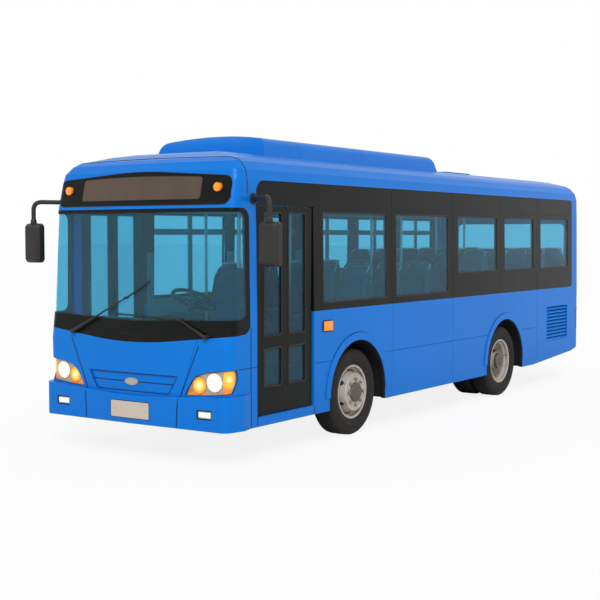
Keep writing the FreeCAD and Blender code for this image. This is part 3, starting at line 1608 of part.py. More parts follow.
def bent_tube(name, points, bend, radius):
    # A round tube through the points, with the same bend radius at each inner point.
    route = [V(*[value(number) for number in point]) for point in points]
    edges = []
    last = route[0]
    for before, corner, after in zip(route, route[1:], route[2:]):
        back = (before - corner).normalize()
        ahead = (after - corner).normalize()
        angle = back.getAngle(ahead) / 2
        run = value(bend) / math.tan(angle)
        centre = corner + (back + ahead).normalize() * (value(bend) / math.sin(angle))
        middle = centre + (corner - centre).normalize() * value(bend)
        edges.append(Part.LineSegment(last, corner + back * run).toShape())
        edges.append(Part.Arc(corner + back * run, middle, corner + ahead * run).toShape())
        last = corner + ahead * run
    edges.append(Part.LineSegment(last, route[-1]).toShape())
    start = Part.Wire([Part.makeCircle(value(radius), route[0], route[1] - route[0])])
    tube = doc.addObject("Part::Feature", name)
    tube.Shape = Part.Wire(edges).makePipeShell([start], True, False)
    return tube


arm = bent_tube("mirror_arm", [
    ("half - wall", "front + mirror_arm_base", "mirror_arm_height"),
    ("mirror_x", mirror_y, "mirror_arm_height"),
    ("mirror_x", mirror_y, "mirror_high - mirror_arm_radius"),
], "mirror_arm_bend", "mirror_arm_radius")
mirror_whole = cut("mirror_whole", fuse("mirror_joined", head, arm), outer_form)
node("mirrors", both("mirrors", mirror_whole))

# Wipers
wiper_specs = (
    ("wiper_right", ("-800", "1226"), ("-76", "1590"), ("-76", "1590"), ("210", "1756")),
    ("wiper_left", ("941", "1242"), ("611", "1395"), ("713", "1392"), ("-208", "1424")),
)


def wiper(name, pivot, blade_hold, blade_start, blade_end):
    clear = "front + lean_sill - 30"
    near = "front + 10"
    arm_tube = bent_tube(name + "_arm", [
        (pivot[0], "front + lean_sill + 20", pivot[1]),
        (pivot[0], near, pivot[1]),
        (blade_hold[0], clear, blade_hold[1]),
    ], "2 * wiper_radius", "wiper_radius")
    blade = bent_tube(name + "_blade", [
        (blade_start[0], clear, blade_start[1]),
        (blade_end[0], clear, blade_end[1]),
    ], "2 * wiper_radius", "wiper_radius")
    return cut(name, fuse(name + "_joined", arm_tube, blade), outer_form)


node("wipers", group("wipers", *[wiper(*spec) for spec in wiper_specs]))

# Lamps
side_lamp = box(
    "side_lamp",
    ("half", "half + side_lamp_depth"),
    ("front + side_lamp_start", "front + side_lamp_start + side_lamp_width"),
    ("side_lamp_low", "side_lamp_low + side_lamp_height"),
)
roof_lamp = cut("roof_lamp", rod("roof_lamp_rod", "Y", ("roof_lamp_x", "roof_lamp_height"), "roof_lamp_radius",
                                 "front + lean_band", "front + cap_depth"), outer_form)
node("marker_lamps", both("marker_lamps", group("marker_lamps_left", side_lamp, roof_lamp)))

# Tow eyes: flat plates hung from the ends of the chassis rails, each with an upright bore
def tow_eye(name, end, rail_low, low):
    inner = "rail_spacing / 2"
    outer = "rail_spacing / 2 + tow_eye_width"
    plate = prism(name + "_plate", "Z", [
        (inner, end),
        (outer, end, "tow_eye_radius"),
        (outer, f"{end} + tow_eye_width", "tow_eye_radius"),
        (inner, f"{end} + tow_eye_width"),
    ], low, f"{low} + tow_eye_plate")
    web = box(name + "_web", (inner, f"{inner} + tow_eye_web"), (end, f"{end} + tow_eye_width"), (low, rail_low))
    bore = rod(name + "_bore", "Z", (f"{inner} + tow_eye_reach", f"{end} + tow_eye_width / 2"), "tow_eye_bore",
               f"{low} - wall", f"{low} + wall")
    return cut(name, fuse(name + "_blank", plate, web), bore)


front_eye = tow_eye("front_eye", "(front + rail_front_inset)", front_bottom, "front_eye_low")
rear_eye = tow_eye("rear_eye", "(rear - rail_rear_inset - tow_eye_width)", rear_bottom, "rear_eye_low")
node("tow_eyes", both("tow_eyes", group("tow_eyes_left", front_eye, rear_eye)))

doc.recompute()


def check(objects):
    for item in objects:
        if "Invalid" in item.State or "Error" in item.State:
            raise RuntimeError(f"{item.Name}: {item.getStatusString()}")


check(doc.Objects)
os.makedirs("parts", exist_ok=True)
for name, piece in nodes.items():
    shape = piece.Shape
    if shape.isNull() or not shape.isValid() or shape.Volume <= 0:
        raise RuntimeError(f"{name} has no valid shape")
    shape.exportStep(f"parts/{name}.step")
    bounds = shape.BoundBox
    print(f"{name}: {len(shape.Solids)} solids, {shape.Volume / 1e6:.2f} litres, "
          f"x {bounds.XMin:.0f} {bounds.XMax:.0f}, y {bounds.YMin:.0f} {bounds.YMax:.0f}, "
          f"z {bounds.ZMin:.0f} {bounds.ZMax:.0f}")
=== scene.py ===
from contextlib import contextmanager
import math
import bmesh
import bpy
from mathutils import Matrix, Vector


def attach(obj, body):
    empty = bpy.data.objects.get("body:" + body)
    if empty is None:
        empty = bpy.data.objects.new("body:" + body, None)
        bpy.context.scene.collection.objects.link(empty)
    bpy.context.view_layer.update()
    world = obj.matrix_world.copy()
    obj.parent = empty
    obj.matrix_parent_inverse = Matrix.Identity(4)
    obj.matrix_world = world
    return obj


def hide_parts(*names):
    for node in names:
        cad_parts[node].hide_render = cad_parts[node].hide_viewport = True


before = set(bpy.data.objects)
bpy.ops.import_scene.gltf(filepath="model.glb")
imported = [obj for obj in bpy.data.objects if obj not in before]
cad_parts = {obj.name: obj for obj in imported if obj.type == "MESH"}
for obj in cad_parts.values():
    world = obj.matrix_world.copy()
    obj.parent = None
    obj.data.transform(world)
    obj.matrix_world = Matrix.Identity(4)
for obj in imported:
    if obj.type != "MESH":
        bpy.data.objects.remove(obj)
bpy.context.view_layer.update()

print("frame loaded:", len(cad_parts), "nodes")

# Camera, floor and light
view = {"place": (7.918, -13.173, 2.208), "tilt": 86.8505, "turn": 34.229, "lens": 70.43, "sensor": 36, "reach": 500}
stage = {"floorSize": 400, "floorShade": 0.9, "cameraWhite": 0.86, "sky": 0.66, "sunPower": 1.6, "sunSoftness": 20,
         "sunFrom": (0.5, -0.62, 0.62)}


def setCamera():
    lens = bpy.data.cameras.new("photoCamera")
    lens.lens = view["lens"]
    lens.sensor_width = view["sensor"]
    lens.clip_end = view["reach"]
    camera = bpy.data.objects.new("photoCamera", lens)
    camera.location = view["place"]
    camera.rotation_euler = (math.radians(view["tilt"]), 0, math.radians(view["turn"]))
    bpy.context.collection.objects.link(camera)
    bpy.context.scene.camera = camera
    bpy.context.scene.view_settings.view_transform = "Standard"


# A node output that adds Math nodes when it is used in an expression
class Signal:
    def __init__(self, finish, socket):
        self.finish = finish
        self.socket = socket

    def __add__(self, other):
        return self.finish.maths("ADD", self, other)

    def __radd__(self, other):
        return self.finish.maths("ADD", other, self)

    def __sub__(self, other):
        return self.finish.maths("SUBTRACT", self, other)

    def __mul__(self, other):
        return self.finish.maths("MULTIPLY", self, other)

    def __truediv__(self, other):
        return self.finish.maths("DIVIDE", self, other)

    def __pow__(self, other):
        return self.finish.maths("POWER", self, other)


class Finish:
    def __init__(self, name, owner=None):
        self.owner = owner or bpy.data.materials.new(name)
        self.owner.use_nodes = True
        self.tree = self.owner.node_tree
        self.shader = self.tree.nodes.get("Principled BSDF")

    def node(self, kind, settings=None, sockets=None, output=0):
        made = self.tree.nodes.new(kind)
        for key, setting in (settings or {}).items():
            if key == "stops":
                ramp = made.color_ramp
                for place, _ in setting[1:-1]:
                    ramp.elements.new(place)
                for element, (place, colour) in zip(ramp.elements, setting):
                    element.position = place
                    element.color = (*colour, 1)
            else:
                setattr(made, key, setting)
        for key, content in (sockets or {}).items():
            self.fill(made.inputs[key], content)
        return Signal(self, made.outputs[output])

    def fill(self, target, content):
        if isinstance(content, Signal):
            self.tree.links.new(content.socket, target)
        else:
            target.default_value = content

    def maths(self, operation, *terms):
        return self.node("ShaderNodeMath", {"operation": operation}, dict(enumerate(terms)))

    def place(self):
        return self.node("ShaderNodeTexCoord", output="Object")

    def axis(self, letter):
        return self.node("ShaderNodeSeparateXYZ", None, {0: self.place()}, letter)

    def noise(self, scale, detail=3, stretch=(1, 1, 1)):
        mapped = self.node("ShaderNodeMapping", None, {"Vector": self.place(), "Scale": stretch})
        return self.node("ShaderNodeTexNoise", None, {"Vector": mapped, "Scale": scale, "Detail": detail}, "Fac")

    def mix(self, factor, first, second):
        first, second = (item if isinstance(item, Signal) else (*item, 1) for item in (first, second))
        return self.node("ShaderNodeMix", {"data_type": "RGBA"}, {0: factor, 6: first, 7: second}, 2)

    def spread(self, signal, low, high, toLow, toHigh):
        return self.node("ShaderNodeMapRange", None, {0: signal, 1: low, 2: high, 3: toLow, 4: toHigh})

    def bump(self, height, strength, distance=0.001):
        return self.node("ShaderNodeBump", None, {"Height": height, "Strength": strength, "Distance": distance})

    def surface(self, **sockets):
        names = {"colour": "Base Color", "roughness": "Roughness", "metallic": "Metallic", "coat": "Coat Weight",
                 "coatRoughness": "Coat Roughness", "alpha": "Alpha", "normal": "Normal", "ior": "IOR",
                 "glow": "Emission Color", "glowPower": "Emission Strength", "sheen": "Sheen Weight",
                 "specular": "Specular IOR Level", "transmission": "Transmission Weight"}
        for key, content in sockets.items():
            if key in ("colour", "glow") and not isinstance(content, Signal):
                content = (*content, 1)
            self.fill(self.shader.inputs[names[key]], content)
        return self.owner


def setFloor():
    clearSelection()
    bpy.ops.mesh.primitive_grid_add(x_subdivisions=8, y_subdivisions=8, size=stage["floorSize"])
    ground = bpy.context.object
    ground.name = "floorSheet"
    finish = Finish("floorPale")
    finish.surface(colour=(stage["floorShade"],) * 3, roughness=0.9)
    glow = finish.node("ShaderNodeEmission", None, {"Color": (1, 1, 1, 1), "Strength": 1.0})
    white = finish.node("ShaderNodeLightPath") * stage["cameraWhite"]
    plain = Signal(finish, finish.shader.outputs[0])
    blend = finish.node("ShaderNodeMixShader", None, {0: white, 1: plain, 2: glow})
    finish.fill(finish.tree.nodes["Material Output"].inputs["Surface"], blend)
    ground.data.materials.append(finish.owner)


def setLight():
    sky = bpy.data.worlds.new("paleSky")
    finish = Finish("paleSky", sky)
    background = finish.tree.nodes["Background"]
    seen = path = finish.node("ShaderNodeLightPath")
    for name in ("Is Glossy Ray", "Is Transmission Ray"):
        seen = finish.maths("MAXIMUM", seen, Signal(finish, path.socket.node.outputs[name]))
    background.inputs["Color"].default_value = (1, 1, 1, 1)
    finish.fill(background.inputs["Strength"], stage["sky"] + seen * (1 - stage["sky"]))
    bpy.context.scene.world = sky
    sun = bpy.data.lights.new("softSun", "SUN")
    sun.energy = stage["sunPower"]
    sun.angle = math.radians(stage["sunSoftness"])
    lamp = bpy.data.objects.new("softSun", sun)
    lamp.rotation_euler = Vector(stage["sunFrom"]).to_track_quat("Z", "Y").to_euler()
    bpy.context.collection.objects.link(lamp)


# Modelling steps shared by the pieces
weld = 0.00005
origin = (0, 0, 0)
flip = Matrix.Scale(-1, 4, (1, 0, 0))


def clearSelection():
    if bpy.context.object and bpy.context.object.mode != "OBJECT":
        bpy.ops.object.mode_set(mode="OBJECT")
    bpy.ops.object.select_all(action="DESELECT")


def pick(piece):
    clearSelection()
    piece.select_set(True)
    bpy.context.view_layer.objects.active = piece


@contextmanager
def editing(piece):
    # Edit mode on one piece with all of it selected
    pick(piece)
    bpy.ops.object.mode_set(mode="EDIT")
    bpy.ops.mesh.select_all(action="SELECT")
    yield
    bpy.ops.object.mode_set(mode="OBJECT")


@contextmanager
def editingSome(piece, kind, chosen):
    # Edit mode with only the chosen edges or faces selected
    with editing(piece):
        bpy.ops.mesh.select_mode(type=kind)
        bpy.ops.mesh.select_all(action="DESELECT")
    for item in {"EDGE": piece.data.edges, "FACE": piece.data.polygons}[kind]:
        item.select = chosen(item)
    bpy.ops.object.mode_set(mode="EDIT")
    yield
    bpy.ops.mesh.select_mode(type="VERT")
    bpy.ops.object.mode_set(mode="OBJECT")


def settle(piece):
    pick(piece)
    bpy.ops.object.transform_apply(location=True, rotation=True, scale=True)
    return piece


def smooth(piece, angle=30):
    pick(piece)
    bpy.ops.object.shade_smooth_by_angle(angle=math.radians(angle))
    return piece


def modified(piece, kind, **settings):
    modifier = piece.modifiers.new(kind.capitalize(), kind)
    for key, setting in settings.items():
        setattr(modifier, key, setting)
    pick(piece)
    bpy.ops.object.modifier_apply(modifier=modifier.name)
    return piece


def roundEdges(piece, width, segments=2):
    # Smooth shading, after a bevel where a width is given
    if width:
        modified(piece, "BEVEL", width=width, segments=segments, limit_method="ANGLE", angle_limit=math.radians(35))
    return smooth(piece)


def addBlock(low, high, edge=0.004, segments=2):
    low, high = Vector(low), Vector(high)
    clearSelection()
    bpy.ops.mesh.primitive_cube_add(size=1, location=(low + high) / 2)
    piece = bpy.context.object
    with editing(piece):
        bpy.ops.transform.resize(value=high - low)
    settle(piece)
    return roundEdges(piece, edge, segments) if edge else piece


def addDrum(start, end, radius, vertices=32, edge=0.003, endRadius=None):
    # A round or tapered bar between two points
    start, end = Vector(start), Vector(end)
    run = end - start
    clearSelection()
    bpy.ops.mesh.primitive_cone_add(vertices=vertices, radius1=radius, depth=run.length, location=(start + end) / 2,
                                    radius2=radius if endRadius is None else endRadius,
                                    rotation=run.to_track_quat("Z", "Y").to_euler())
    return roundEdges(settle(bpy.context.object), edge)


def addLoop(points, fill="NGON"):
    clearSelection()
    bpy.ops.mesh.primitive_circle_add(vertices=len(points), fill_type=fill)
    piece = bpy.context.object
    for vertex, point in zip(piece.data.vertices, points):
        vertex.co = point
    return piece


def addPlate(outline, axis, low, high, edge=0.003):
    # A flat outline carried along one axis
    def placed(across, up, deep):
        return {"X": (deep, across, up), "Y": (across, deep, up), "Z": (across, up, deep)}[axis]

    piece = addLoop([placed(*corner, low) for corner in outline])
    with editing(piece):
        bpy.ops.mesh.extrude_region_move(TRANSFORM_OT_translate={"value": placed(0, 0, high - low)})
        bpy.ops.mesh.select_all(action="SELECT")
        bpy.ops.mesh.normals_make_consistent(inside=False)
    return roundEdges(piece, edge)


def addTurned(profile, steps=64, closed=True, facing="left", centre=origin):
    # A profile of (along, radius) turned about a line through the centre that faces left, rear or up
    piece = addLoop([(along, 0, radius) for along, radius in profile], "NOTHING")
    if not closed:
        last = {0, len(profile) - 1}
        with editingSome(piece, "EDGE", lambda edge: set(edge.vertices) == last):
            bpy.ops.mesh.delete(type="EDGE_FACE")
    with editing(piece):
        bpy.ops.mesh.spin(steps=steps, angle=2 * math.pi, center=origin, axis=(1, 0, 0))
        bpy.ops.mesh.select_all(action="SELECT")
        bpy.ops.mesh.remove_doubles(threshold=weld)
        bpy.ops.mesh.normals_make_consistent(inside=False)
    degrees, axis = {"left": (0, "Z"), "rear": (90, "Z"), "up": (-90, "Y")}[facing]
    piece.data.transform(Matrix.Translation(Vector(centre)) @ Matrix.Rotation(math.radians(degrees), 4, axis))
    return smooth(piece, 40)


def beaded(piece, radius, sides):
    # A curve given a round section and turned into a mesh
    pick(piece)
    piece.data.bevel_depth = radius
    piece.data.bevel_resolution = sides
    piece.data.use_fill_caps = True
    bpy.ops.object.convert(target="MESH")
    return smooth(bpy.context.object, 60)


def addBead(points, radius, closed=False, sides=2):
    # A round bead along a line of points
    curve = bpy.data.curves.new("bead", "CURVE")
    curve.dimensions = "3D"
    line = curve.splines.new("POLY")
    line.points.add(len(points) - 1)
    for point, place in zip(line.points, points):
        point.co = (*place, 1)
    line.use_cyclic_u = closed
    piece = bpy.data.objects.new("bead", curve)
    bpy.context.collection.objects.link(piece)
    return beaded(piece, radius, sides)


def addTube(points, radius, bend=0.05, sides=3):
    # A tube through the points with rounded corners
    route = [Vector(point) for point in points]
    line = [route[0]]
    for before, corner, after in zip(route, route[1:], route[2:]):
        reach = min(bend, (before - corner).length / 2, (after - corner).length / 2)
        start = corner + (before - corner).normalized() * reach
        end = corner + (after - corner).normalized() * reach
        for step in range(7):
            share = step / 6
            line.append(start * (1 - share) ** 2 + corner * 2 * share * (1 - share) + end * share ** 2)
    line.append(route[-1])
    return addBead(line, radius, sides=sides)


def joined(pieces, name=None):
    clearSelection()
    for piece in pieces:
        piece.select_set(True)
    bpy.context.view_layer.objects.active = pieces[0]
    if len(pieces) > 1:
        bpy.ops.object.join()
    if name:
        pieces[0].name = name
    return pieces[0]


def copied(piece, move=origin, turn=None):
    twin = piece.copy()
    twin.data = piece.data.copy()
    bpy.context.collection.objects.link(twin)
    if turn:
        twin.data.transform(turn)
    twin.data.transform(Matrix.Translation(Vector(move)))
    return twin


def flopped(piece):
    # The piece moved over to the other side of the bus
    piece.data.transform(flip)
    piece.data.flip_normals()
    return piece


def discard(*pieces):
    for piece in pieces:
        bpy.data.objects.remove(piece)


def dress(name, finish, *parts, both=False, body="root", slot=None, hides=()):
    # Joins the parts under one name, on both sides of the bus if asked, and gives them a finish and a body
    piece = joined(parts, name)
    if both:
        piece = joined([piece, flopped(copied(piece))], name)
    piece.data.materials.clear()
    piece.data.materials.append(finishes[finish])
    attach(piece, body)
    if hides:
        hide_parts(*hides)
    return piece


def surfaceAt(names, start, aim):
    # The nearest point of the named nodes that a straight line meets
    start, aim = Vector(start), Vector(aim).normalized()
    found = []
    for name in names.split():
        hit, place, normal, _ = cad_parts[name].ray_cast(start, aim)
        if hit:
            found.append(((place - start).length, place.copy(), normal.copy()))
    return min(found, key=lambda item: item[0])[1:] if found else None


looks = {
    "left": (lambda across, up: (3, across, up), (-1, 0, 0)),
    "front": (lambda across, up: (across, -7, up), (0, 1, 0)),
    "rear": (lambda across, up: (across, 7, up), (0, -1, 0)),
    "top": (lambda across, up: (across, up, 5), (0, 0, -1)),
}


def traced(look, names, corners, step=0.04, ring=False):
    # Points on the surface of the nodes under a line of corners seen square on
    place, aim = looks[look]
    corners = list(corners)
    line = []
    for (u, v), (nextU, nextV) in zip(corners, corners[1:] + corners[:1] * ring):
        count = max(1, round(math.dist((u, v), (nextU, nextV)) / step))
        for number in range(count + 1):
            share = number / count
            found = surfaceAt(names, place(u + (nextU - u) * share, v + (nextV - v) * share), aim)
            if found and (not line or (found[0] - line[-1]).length > 0.002):
                line.append(found[0])
    return line


def wrapped(names, y, height, degrees):
    # Points and normals of the nodes in one plane across the bus, seen from all round
    found = []
    for turn in map(math.radians, degrees):
        aim = Vector((-math.cos(turn), 0, -math.sin(turn)))
        found.append(surfaceAt(names, Vector((0, y, height)) - aim * 3, aim))
    return [item for item in found if item]


def ovalLoop(centre, width, height, steps=32):
    turns = [math.radians(360 * step / steps) for step in range(steps)]
    return [(centre[0] + width / 2 * math.cos(turn), centre[1] + height / 2 * math.sin(turn)) for turn in turns]


def roundedLoop(low, high, radius, steps=6, grow=(0, 0)):
    # The corners of a rounded rectangle, grown or shrunk, in order
    low, high = [low[0] - grow[0], low[1] - grow[1]], [high[0] + grow[0], high[1] + grow[1]]
    loop = []
    for number, (u, v) in enumerate(((high[0], high[1]), (low[0], high[1]), (low[0], low[1]), (high[0], low[1]))):
        centreU = u - radius if u == high[0] else u + radius
        centreV = v - radius if v == high[1] else v + radius
        for step in range(steps + 1):
            angle = math.radians(90 * (number + step / steps))
            loop.append((centreU + radius * math.cos(angle), centreV + radius * math.sin(angle)))
    return loop


def addPatch(look, names, outline, lift=0.001, thickness=0.004, cuts=2, edge=0.0015):
    # A thin plate that follows the surface of the nodes under a flat outline
    place, aim = looks[look]
    aim = Vector(aim)
    piece = addLoop([(u, v, 0) for u, v in outline])
    with editing(piece):
        bpy.ops.mesh.poke()
        bpy.ops.mesh.subdivide(number_cuts=cuts)
    reach = 0
    for vertex in piece.data.vertices:
        start = Vector(place(vertex.co.x, vertex.co.y))
        found = surfaceAt(names, start, aim)
        reach = (found[0] - start).length if found else reach
        vertex.co = start + aim * (reach - lift)
    piece.data.update()
    if sum((face.normal for face in piece.data.polygons), Vector()).dot(aim) > 0:
        piece.data.flip_normals()
    modified(piece, "SOLIDIFY", thickness=thickness, offset=1)
    return roundEdges(piece, edge, 1)


def cadCopy(node):
    # A copy of a CAD node's mesh with its loose triangles merged
    piece = bpy.data.objects.new("copy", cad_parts[node].data.copy())
    bpy.context.collection.objects.link(piece)
    with editing(piece):
        bpy.ops.mesh.remove_doubles(threshold=weld)
    return piece


def addRimBead(node, heart, radius):
    # A bead along the outer edges of a CAD pane or lamp; heart is a point behind it, on the left half
    piece = cadCopy(node)
    shape = bmesh.new()
    shape.from_mesh(piece.data)
    spare = []
    for edge in shape.edges:
        middle = (edge.verts[0].co + edge.verts[1].co) / 2
        away = Vector((middle.x - math.copysign(heart[0], middle.x), middle.y - heart[1], 0)).normalized()
        normals = [face.normal for face in edge.link_faces]
        sharp = len(normals) == 2 and normals[0].dot(normals[1]) < 0.4
        if not (sharp and max(normal.dot(away) for normal in normals) > 0.5):
            spare.append(edge)
    bmesh.ops.delete(shape, geom=spare, context="EDGES")
    shape.to_mesh(piece.data)
    shape.free()
    pick(piece)
    bpy.ops.object.convert(target="CURVE")
    return beaded(bpy.context.object, radius, 2)


# Finishes
def shaded(colour, share, plus=0):
    return tuple(min(1, share * part + plus) for part in colour)


def makePaint(name):
    # Glossy blue paint with a fine orange-peel coat, turning a darker, rougher blue towards the skirt
    finish = Finish(name)
    skirtDarkening = finish.spread(finish.axis("Z") + finish.noise(3, 4) * 0.25, 0.3, 1.0, 0.16, 0.0)
    tone = finish.mix(finish.noise(0.6, 2), (0.0, 0.150, 0.575), (0.0, 0.182, 0.665))
    return finish.surface(
        colour=finish.mix(skirtDarkening, tone, (0.012, 0.085, 0.36)), roughness=0.30 + finish.noise(7, 4) * 0.08 + skirtDarkening * 0.9,
        specular=0.10, coat=0.08, coatRoughness=0.08, normal=finish.bump(finish.noise(160, 2), 0.06, 0.0006))


def makeGlazedBlack(name):
    finish = Finish(name)
    dust = finish.spread(finish.noise(4, 5), 0.45, 0.8, 0.0, 0.35)
    return finish.surface(
        colour=finish.mix(dust, (0.0045, 0.0055, 0.0052), (0.013, 0.011, 0.009)), roughness=0.28 + dust * 0.3,
        specular=0.09, coat=0.05, coatRoughness=0.08, normal=finish.bump(finish.noise(90, 2), 0.03, 0.0005))


def makeGlass(name, colour):
    # Tinted glass: what is behind a pane shows in its colour
    finish = Finish(name)
    haze = finish.noise(1.3, 4)
    return finish.surface(
        colour=finish.mix(haze, colour, shaded(colour, 0.93)), roughness=haze * 0.03,
        transmission=0.95, ior=1.08, coat=0.2, coatRoughness=0.03)


def makeLampCover(name):
    finish = Finish(name)
    haze = finish.noise(6, 4)
    return finish.surface(colour=(0.95, 0.86, 0.72), roughness=0.03 + haze * 0.05, specular=0.1,
                          alpha=finish.spread(haze, 0.2, 0.8, 0.02, 0.05))


def makeRubber(name, colour=(0.012, 0.012, 0.012), roughness=0.55):
    finish = Finish(name)
    bloom = finish.spread(finish.noise(18, 4), 0.4, 0.75, 0.0, 0.5)
    return finish.surface(
        colour=finish.mix(bloom, colour, shaded(colour, 1.9)), roughness=roughness + bloom * 0.2, specular=0.2,
        normal=finish.bump(finish.noise(420, 3), 0.25, 0.0005))


def makeMoulded(name, colour, roughness=0.5, grain=520):
    # Moulded plastic with a fine leather grain
    finish = Finish(name)
    cells = finish.node("ShaderNodeTexVoronoi", None, {"Vector": finish.place(), "Scale": grain})
    wear = finish.noise(5, 4)
    return finish.surface(
        colour=finish.mix(finish.spread(wear, 0.35, 0.8, 0, 0.5), colour, shaded(colour, 1.35, 0.004)),
        roughness=roughness + wear * 0.12, specular=0.3, normal=finish.bump(cells, 0.3, 0.0004))


def makeSteel(name, colour, roughness=0.4, metallic=0.0, dirt=(0.10, 0.085, 0.07), dirtShare=0.5):
    finish = Finish(name)
    grime = finish.spread(finish.noise(9, 5), 0.48, 0.8, 0.0, dirtShare)
    return finish.surface(
        colour=finish.mix(grime, colour, dirt), roughness=roughness + grime * 0.35, metallic=metallic,
        normal=finish.bump(finish.noise(240, 3), 0.08, 0.0005))


def makeBrushed(name, colour):
    finish = Finish(name)
    lines = finish.noise(60, 3, (1, 1, 0.02))
    return finish.surface(
        colour=finish.mix(lines, colour, shaded(colour, 0.75)), roughness=0.22 + lines * 0.2, metallic=1.0,
        normal=finish.bump(lines, 0.08, 0.0004))


def makeLens(name, colour, glow=0.0, ribs=0):
    finish = Finish(name)
    height = finish.maths("SINE", finish.axis("Z") * ribs) if ribs else finish.noise(60, 2)
    return finish.surface(
        colour=finish.mix(finish.noise(12, 2), colour, shaded(colour, 0.85)),
        roughness=0.12 + finish.noise(30, 2) * 0.05, coat=0.5, glow=colour, glowPower=glow,
        normal=finish.bump(height, 0.15, 0.001))


def makeGlowLens(name, centre, reach, power, stops):
    # A lit lens: its colour runs out from a bright spot, the same on both sides of the bus
    finish = Finish(name)
    parts = [finish.maths("ABSOLUTE", finish.axis("X")), finish.axis("Y"), finish.axis("Z")]
    parts = [part - middle for part, middle in zip(parts, centre)]
    far = (parts[0] * parts[0] + parts[1] * parts[1] + parts[2] * parts[2]) ** 0.5 / reach
    colour = finish.node("ShaderNodeValToRGB", {"stops": stops}, {0: far + finish.noise(30, 2) * 0.04})
    return finish.surface(colour=colour, roughness=0.15 + finish.noise(40, 2) * 0.05, glow=colour, glowPower=power,
                          specular=0.3, normal=finish.bump(finish.noise(60, 2), 0.1, 0.001))


def makeCloth(name, colour, light):
    # Woven seat cloth: two crossing threads and soft wear
    finish = Finish(name)
    threads = [finish.maths("SINE", finish.axis(letter) * 1900) for letter in "XYZ"]
    weave = threads[0] * threads[2] + threads[1] * threads[2]
    patch = finish.noise(6, 4)
    fleck = finish.spread(finish.noise(260, 2), 0.5, 0.72, 0.0, 0.6)
    tone = finish.mix(patch, colour, shaded(colour, 1.25))
    return finish.surface(colour=finish.mix(fleck, tone, light), roughness=0.86 + patch * 0.08, sheen=0.3,
                          normal=finish.bump(weave + patch, 0.25, 0.0006))


def makeFloor(name):
    finish = Finish(name)
    scuff = finish.spread(finish.noise(7, 5), 0.4, 0.8, 0.0, 0.5)
    return finish.surface(
        colour=finish.mix(scuff, (0.10, 0.11, 0.12), (0.20, 0.19, 0.18)), roughness=0.6 + scuff * 0.2,
        normal=finish.bump(finish.maths("SINE", finish.axis("X") * 420), 0.35, 0.001))


def makeCast(name):
    finish = Finish(name)
    rough = finish.noise(120, 4)
    oil = finish.spread(finish.noise(5, 4), 0.5, 0.8, 0, 0.7)
    return finish.surface(
        colour=finish.mix(oil, (0.13, 0.14, 0.15), (0.035, 0.028, 0.022)), roughness=0.55 + rough * 0.2,
        metallic=0.3, normal=finish.bump(rough, 0.5, 0.001))


